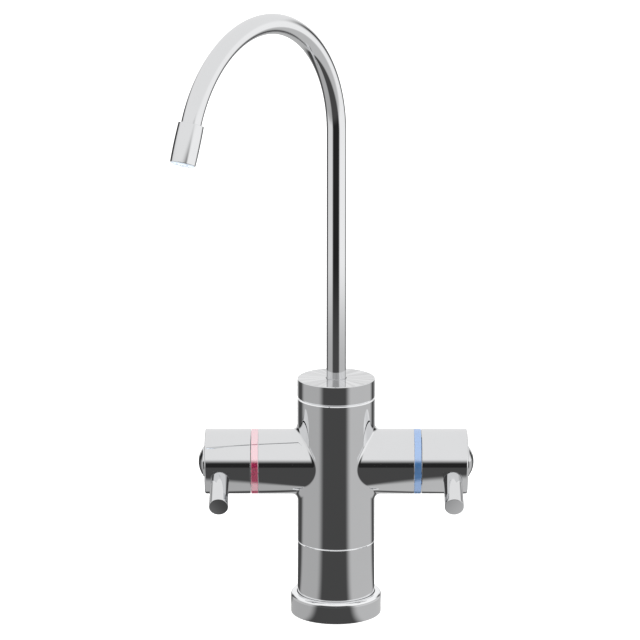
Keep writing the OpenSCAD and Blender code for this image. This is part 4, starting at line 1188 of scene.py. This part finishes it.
# The finish of each material slot; raw brass has one for upright and one for level pieces
FINISHES = {
    "polished_chrome": "polished_chrome_plate", "satin_chrome": "satin_turned_chrome",
    "red_ring": "red_anodised", "blue_ring": "blue_anodised", "stainless": "drawn_stainless",
    "black_rubber": "moulded_rubber", "white_ceramic": "lapped_ceramic",
    "white_plastic": "slide_ring_plastic", "pale_insert": "pale_insert_plastic",
}


class TAP_OT_inner_parts(TapOperator):
    """Give the seals, discs, spindles, screws and the rest inside their finishes"""
    bl_idname = "tap.inner_parts"
    bl_label = "Inner Parts"

    def execute(self, context):
        for part in frame["record"]["subparts"]:
            node, slot = part["node"], part["material_slot"]
            if slot == "raw_brass":
                level = node.startswith(("hot_", "cold_"))
                name = "turned_brass_level" if level else "turned_brass_upright"
            elif slot in FINISHES:
                name = FINISHES[slot]
            else:
                raise RuntimeError(f"no finish for the slot {slot}")
            for holder in frame["nodes"][node].material_slots:
                holder.material = bpy.data.materials[name]
        return {"FINISHED"}


# Studio


# Softboxes round the tap, each with its bearing from the camera towards the cold side and its half
# width, both in degrees, and its brightness
SOFTBOXES = ((80, 45, 1.0), (-80, 35, 0.8), (180, 30, 0.9))
# Degrees on both sides of a softbox's end over which it fades
SOFT_EDGE = 10
# Share of a softbox's brightness that the table shows
TABLE_GLOW = 0.5
# Distance at which the table starts to go over into the walls
WALL_START = 0.6
# Rises of a ray over which the walls turn into ceiling
CEILING_FADE = (0.1, 0.4)
# Depth of the mirrored table under the floor, and the strength of the white light for the eye
TABLE_DEPTH = 0.0002
EYE_LIGHT = 1.3


def smooth(tree, value, start, end):
    """A soft step of a value from start to end."""
    node = add_node(tree, "ShaderNodeMapRange", {"interpolation_type": "SMOOTHSTEP"},
                    Value=value, From_Min=start, From_Max=end)
    return node.outputs[0]


def softbox_group():
    """Shader group: the light of the softboxes that stand round the tap."""
    tree, enter, leave = new_tree(
        "softbox_light", "ShaderNodeTree", (("Vector", "NodeSocketVector", None),),
        (("Light", "NodeSocketFloat"),))
    level = add_node(tree, "ShaderNodeVectorMath", {"operation": "MULTIPLY"},
                     Vector=enter.outputs[0])
    level.inputs[1].default_value = (1.0, 1.0, 0.0)
    way = add_node(tree, "ShaderNodeVectorMath", {"operation": "NORMALIZE"},
                   Vector=level.outputs[0])
    light = 0.0
    for bearing, half, bright in SOFTBOXES:
        facing = add_node(tree, "ShaderNodeVectorMath", {"operation": "DOT_PRODUCT"},
                          Vector=way.outputs[0])
        facing.inputs[1].default_value = (sin(radians(bearing)), -cos(radians(bearing)), 0.0)
        inside = smooth(tree, facing.outputs["Value"], cos(radians(half + SOFT_EDGE)),
                        cos(radians(half - SOFT_EDGE)))
        light = math_node(tree, "MULTIPLY_ADD", inside, bright, light)
    tree.links.new(light, leave.inputs[0])
    return tree


def bare_tree(owner):
    """The emptied node tree of a material or a world."""
    owner.use_nodes = True
    owner.node_tree.nodes.clear()
    return owner.node_tree


def end_tree(tree, kind, shader):
    """End a tree in its output."""
    out = tree.nodes.new(kind)
    tree.links.new(shader.outputs[0], out.inputs[0])


class TAP_OT_stage(TapOperator):
    """Set up the pale floor, the soft studio and the camera"""
    bl_idname = "tap.stage"
    bl_label = "Stage"

    def execute(self, context):
        t = context.scene.tap_studio
        softbox_group()
        self.floor(t)
        self.table(t)
        self.surroundings(context, t)
        self.camera(context, t)
        context.scene.view_settings.view_transform = "Standard"
        return {"FINISHED"}

    @staticmethod
    def face(name, corners, material):
        """A flat face of the stage through its corners."""
        mesh = bpy.data.meshes.new(name)
        mesh.from_pydata(corners, [], [range(len(corners))])
        mesh.materials.append(material)
        thing = bpy.data.objects.new(name, mesh)
        bpy.context.scene.collection.objects.link(thing)
        return thing

    def disc(self, name, radius, height, material):
        """A round face of the stage."""
        angles = round_angles(SMALL_STEPS)[:-1]
        return self.face(name, [(radius * cos(a), radius * sin(a), height) for a in angles],
                         material)

    @staticmethod
    def mirrored_only(thing):
        """Hide a face of the studio from everything but the tap's shine."""
        thing.visible_camera = False
        thing.visible_diffuse = False
        thing.visible_shadow = False

    def floor(self, t):
        """The pale floor, which the chrome doesn't mirror."""
        pale = Finish("pale_floor", (0.9, 0.9, 0.9), Specular_IOR_Level=0.2,
                      Emission_Color=(1.0, 1.0, 1.0, 1.0), Emission_Strength=0.45)
        pale.shade(pale.haze(3.0, 0.985, 1.0)).rough(pale.haze(8.0, 0.7, 0.8))
        floor = self.disc("floor", t.floor_radius, 0.0, pale.material)
        floor.visible_glossy = False

    def table(self, t):
        """A plain table top that only the chrome sees, with the softboxes' glow on it."""
        material = bpy.data.materials.new("mirrored_table")
        tree = bare_tree(material)
        place = tree.nodes.new("ShaderNodeTexCoord").outputs["Object"]
        boxes = group_node(tree, "softbox_light", Vector=place).outputs[0]
        table = math_node(tree, "MULTIPLY_ADD", boxes, TABLE_GLOW, t.table_light)
        walls = math_node(tree, "ADD", boxes, t.wall_light)
        edge = smooth(tree, length_of(tree, place), WALL_START, t.table_radius)
        glow = add_node(tree, "ShaderNodeEmission", Color=mix_colors(tree, edge, table, walls))
        end_tree(tree, "ShaderNodeOutputMaterial", glow)
        self.mirrored_only(self.disc("mirrored_table", t.table_radius, -TABLE_DEPTH, material))

    @staticmethod
    def surroundings(context, t):
        """White light for the eye, and soft walls and ceiling for the chrome."""
        world = bpy.data.worlds.new("soft_studio")
        context.scene.world = world
        tree = bare_tree(world)
        way = tree.nodes.new("ShaderNodeTexCoord").outputs["Generated"]
        boxes = group_node(tree, "softbox_light", Vector=way).outputs[0]
        walls = math_node(tree, "ADD", boxes, t.wall_light)
        up = add_node(tree, "ShaderNodeSeparateXYZ", Vector=way).outputs[2]
        ceiling = (t.ceiling_light, t.ceiling_light, t.ceiling_light, 1.0)
        light = mix_colors(tree, smooth(tree, up, *CEILING_FADE), walls, ceiling)
        mirrored = add_node(tree, "ShaderNodeBackground", Color=light)
        plain = add_node(tree, "ShaderNodeBackground", Color=(1.0, 1.0, 1.0, 1.0),
                         Strength=EYE_LIGHT)
        glossy = tree.nodes.new("ShaderNodeLightPath").outputs["Is Glossy Ray"]
        mix = tree.nodes.new("ShaderNodeMixShader")
        for socket, value in zip(mix.inputs, (glossy, plain.outputs[0], mirrored.outputs[0])):
            tree.links.new(value, socket)
        end_tree(tree, "ShaderNodeOutputWorld", mix)

    @staticmethod
    def camera(context, t):
        """The camera, which looks down on the target from the front."""
        data = bpy.data.cameras.new("picture")
        data.lens = t.lens
        data.clip_end = 100.0
        camera = bpy.data.objects.new("picture", data)
        back = Vector((0.0, -cos(t.elevation), sin(t.elevation)))
        camera.location = Vector(t.target) + back * t.distance
        camera.rotation_euler = (pi / 2 - t.elevation, 0.0, 0.0)
        context.scene.collection.objects.link(camera)
        context.scene.camera = camera


class TAP_PT_panel(bpy.types.Panel):
    """Lists the tap's operators in the sidebar"""
    bl_idname = "TAP_PT_panel"
    bl_label = "Boiling Water Tap"
    bl_space_type = "VIEW_3D"
    bl_region_type = "UI"
    bl_category = "Tap"

    def draw(self, context):
        for operator in OPERATORS:
            self.layout.operator(operator.bl_idname)


SETTINGS = {
    "tap_body": TapBodySizes, "tap_arms": TapArmSizes, "tap_handles": TapHandleSizes,
    "tap_spout": TapSpoutSizes, "tap_finishes": TapFinishes, "tap_studio": TapStudio,
}
OPERATORS = (
    TAP_OT_finishes, TAP_OT_base, TAP_OT_valve_body, TAP_OT_top_cap, TAP_OT_spout,
    TAP_OT_flow_straightener, TAP_OT_colour_rings, TAP_OT_knobs, TAP_OT_levers, TAP_OT_end_caps,
    TAP_OT_inner_parts, TAP_OT_stage,
)


def register():
    for group in SETTINGS.values():
        bpy.utils.register_class(group)
    for operator in OPERATORS:
        bpy.utils.register_class(operator)
    bpy.utils.register_class(TAP_PT_panel)
    for name, group in SETTINGS.items():
        setattr(bpy.types.Scene, name, PointerProperty(type=group))


def unregister():
    for name in SETTINGS:
        delattr(bpy.types.Scene, name)
    bpy.utils.unregister_class(TAP_PT_panel)
    for operator in reversed(OPERATORS):
        bpy.utils.unregister_class(operator)
    for group in reversed(SETTINGS.values()):
        bpy.utils.unregister_class(group)


def main():
    register()
    for operator in OPERATORS:
        section, _, name = operator.bl_idname.partition(".")
        getattr(getattr(bpy.ops, section), name)()
    bpy.context.view_layer.update()


if __name__ == "__main__":
    main()
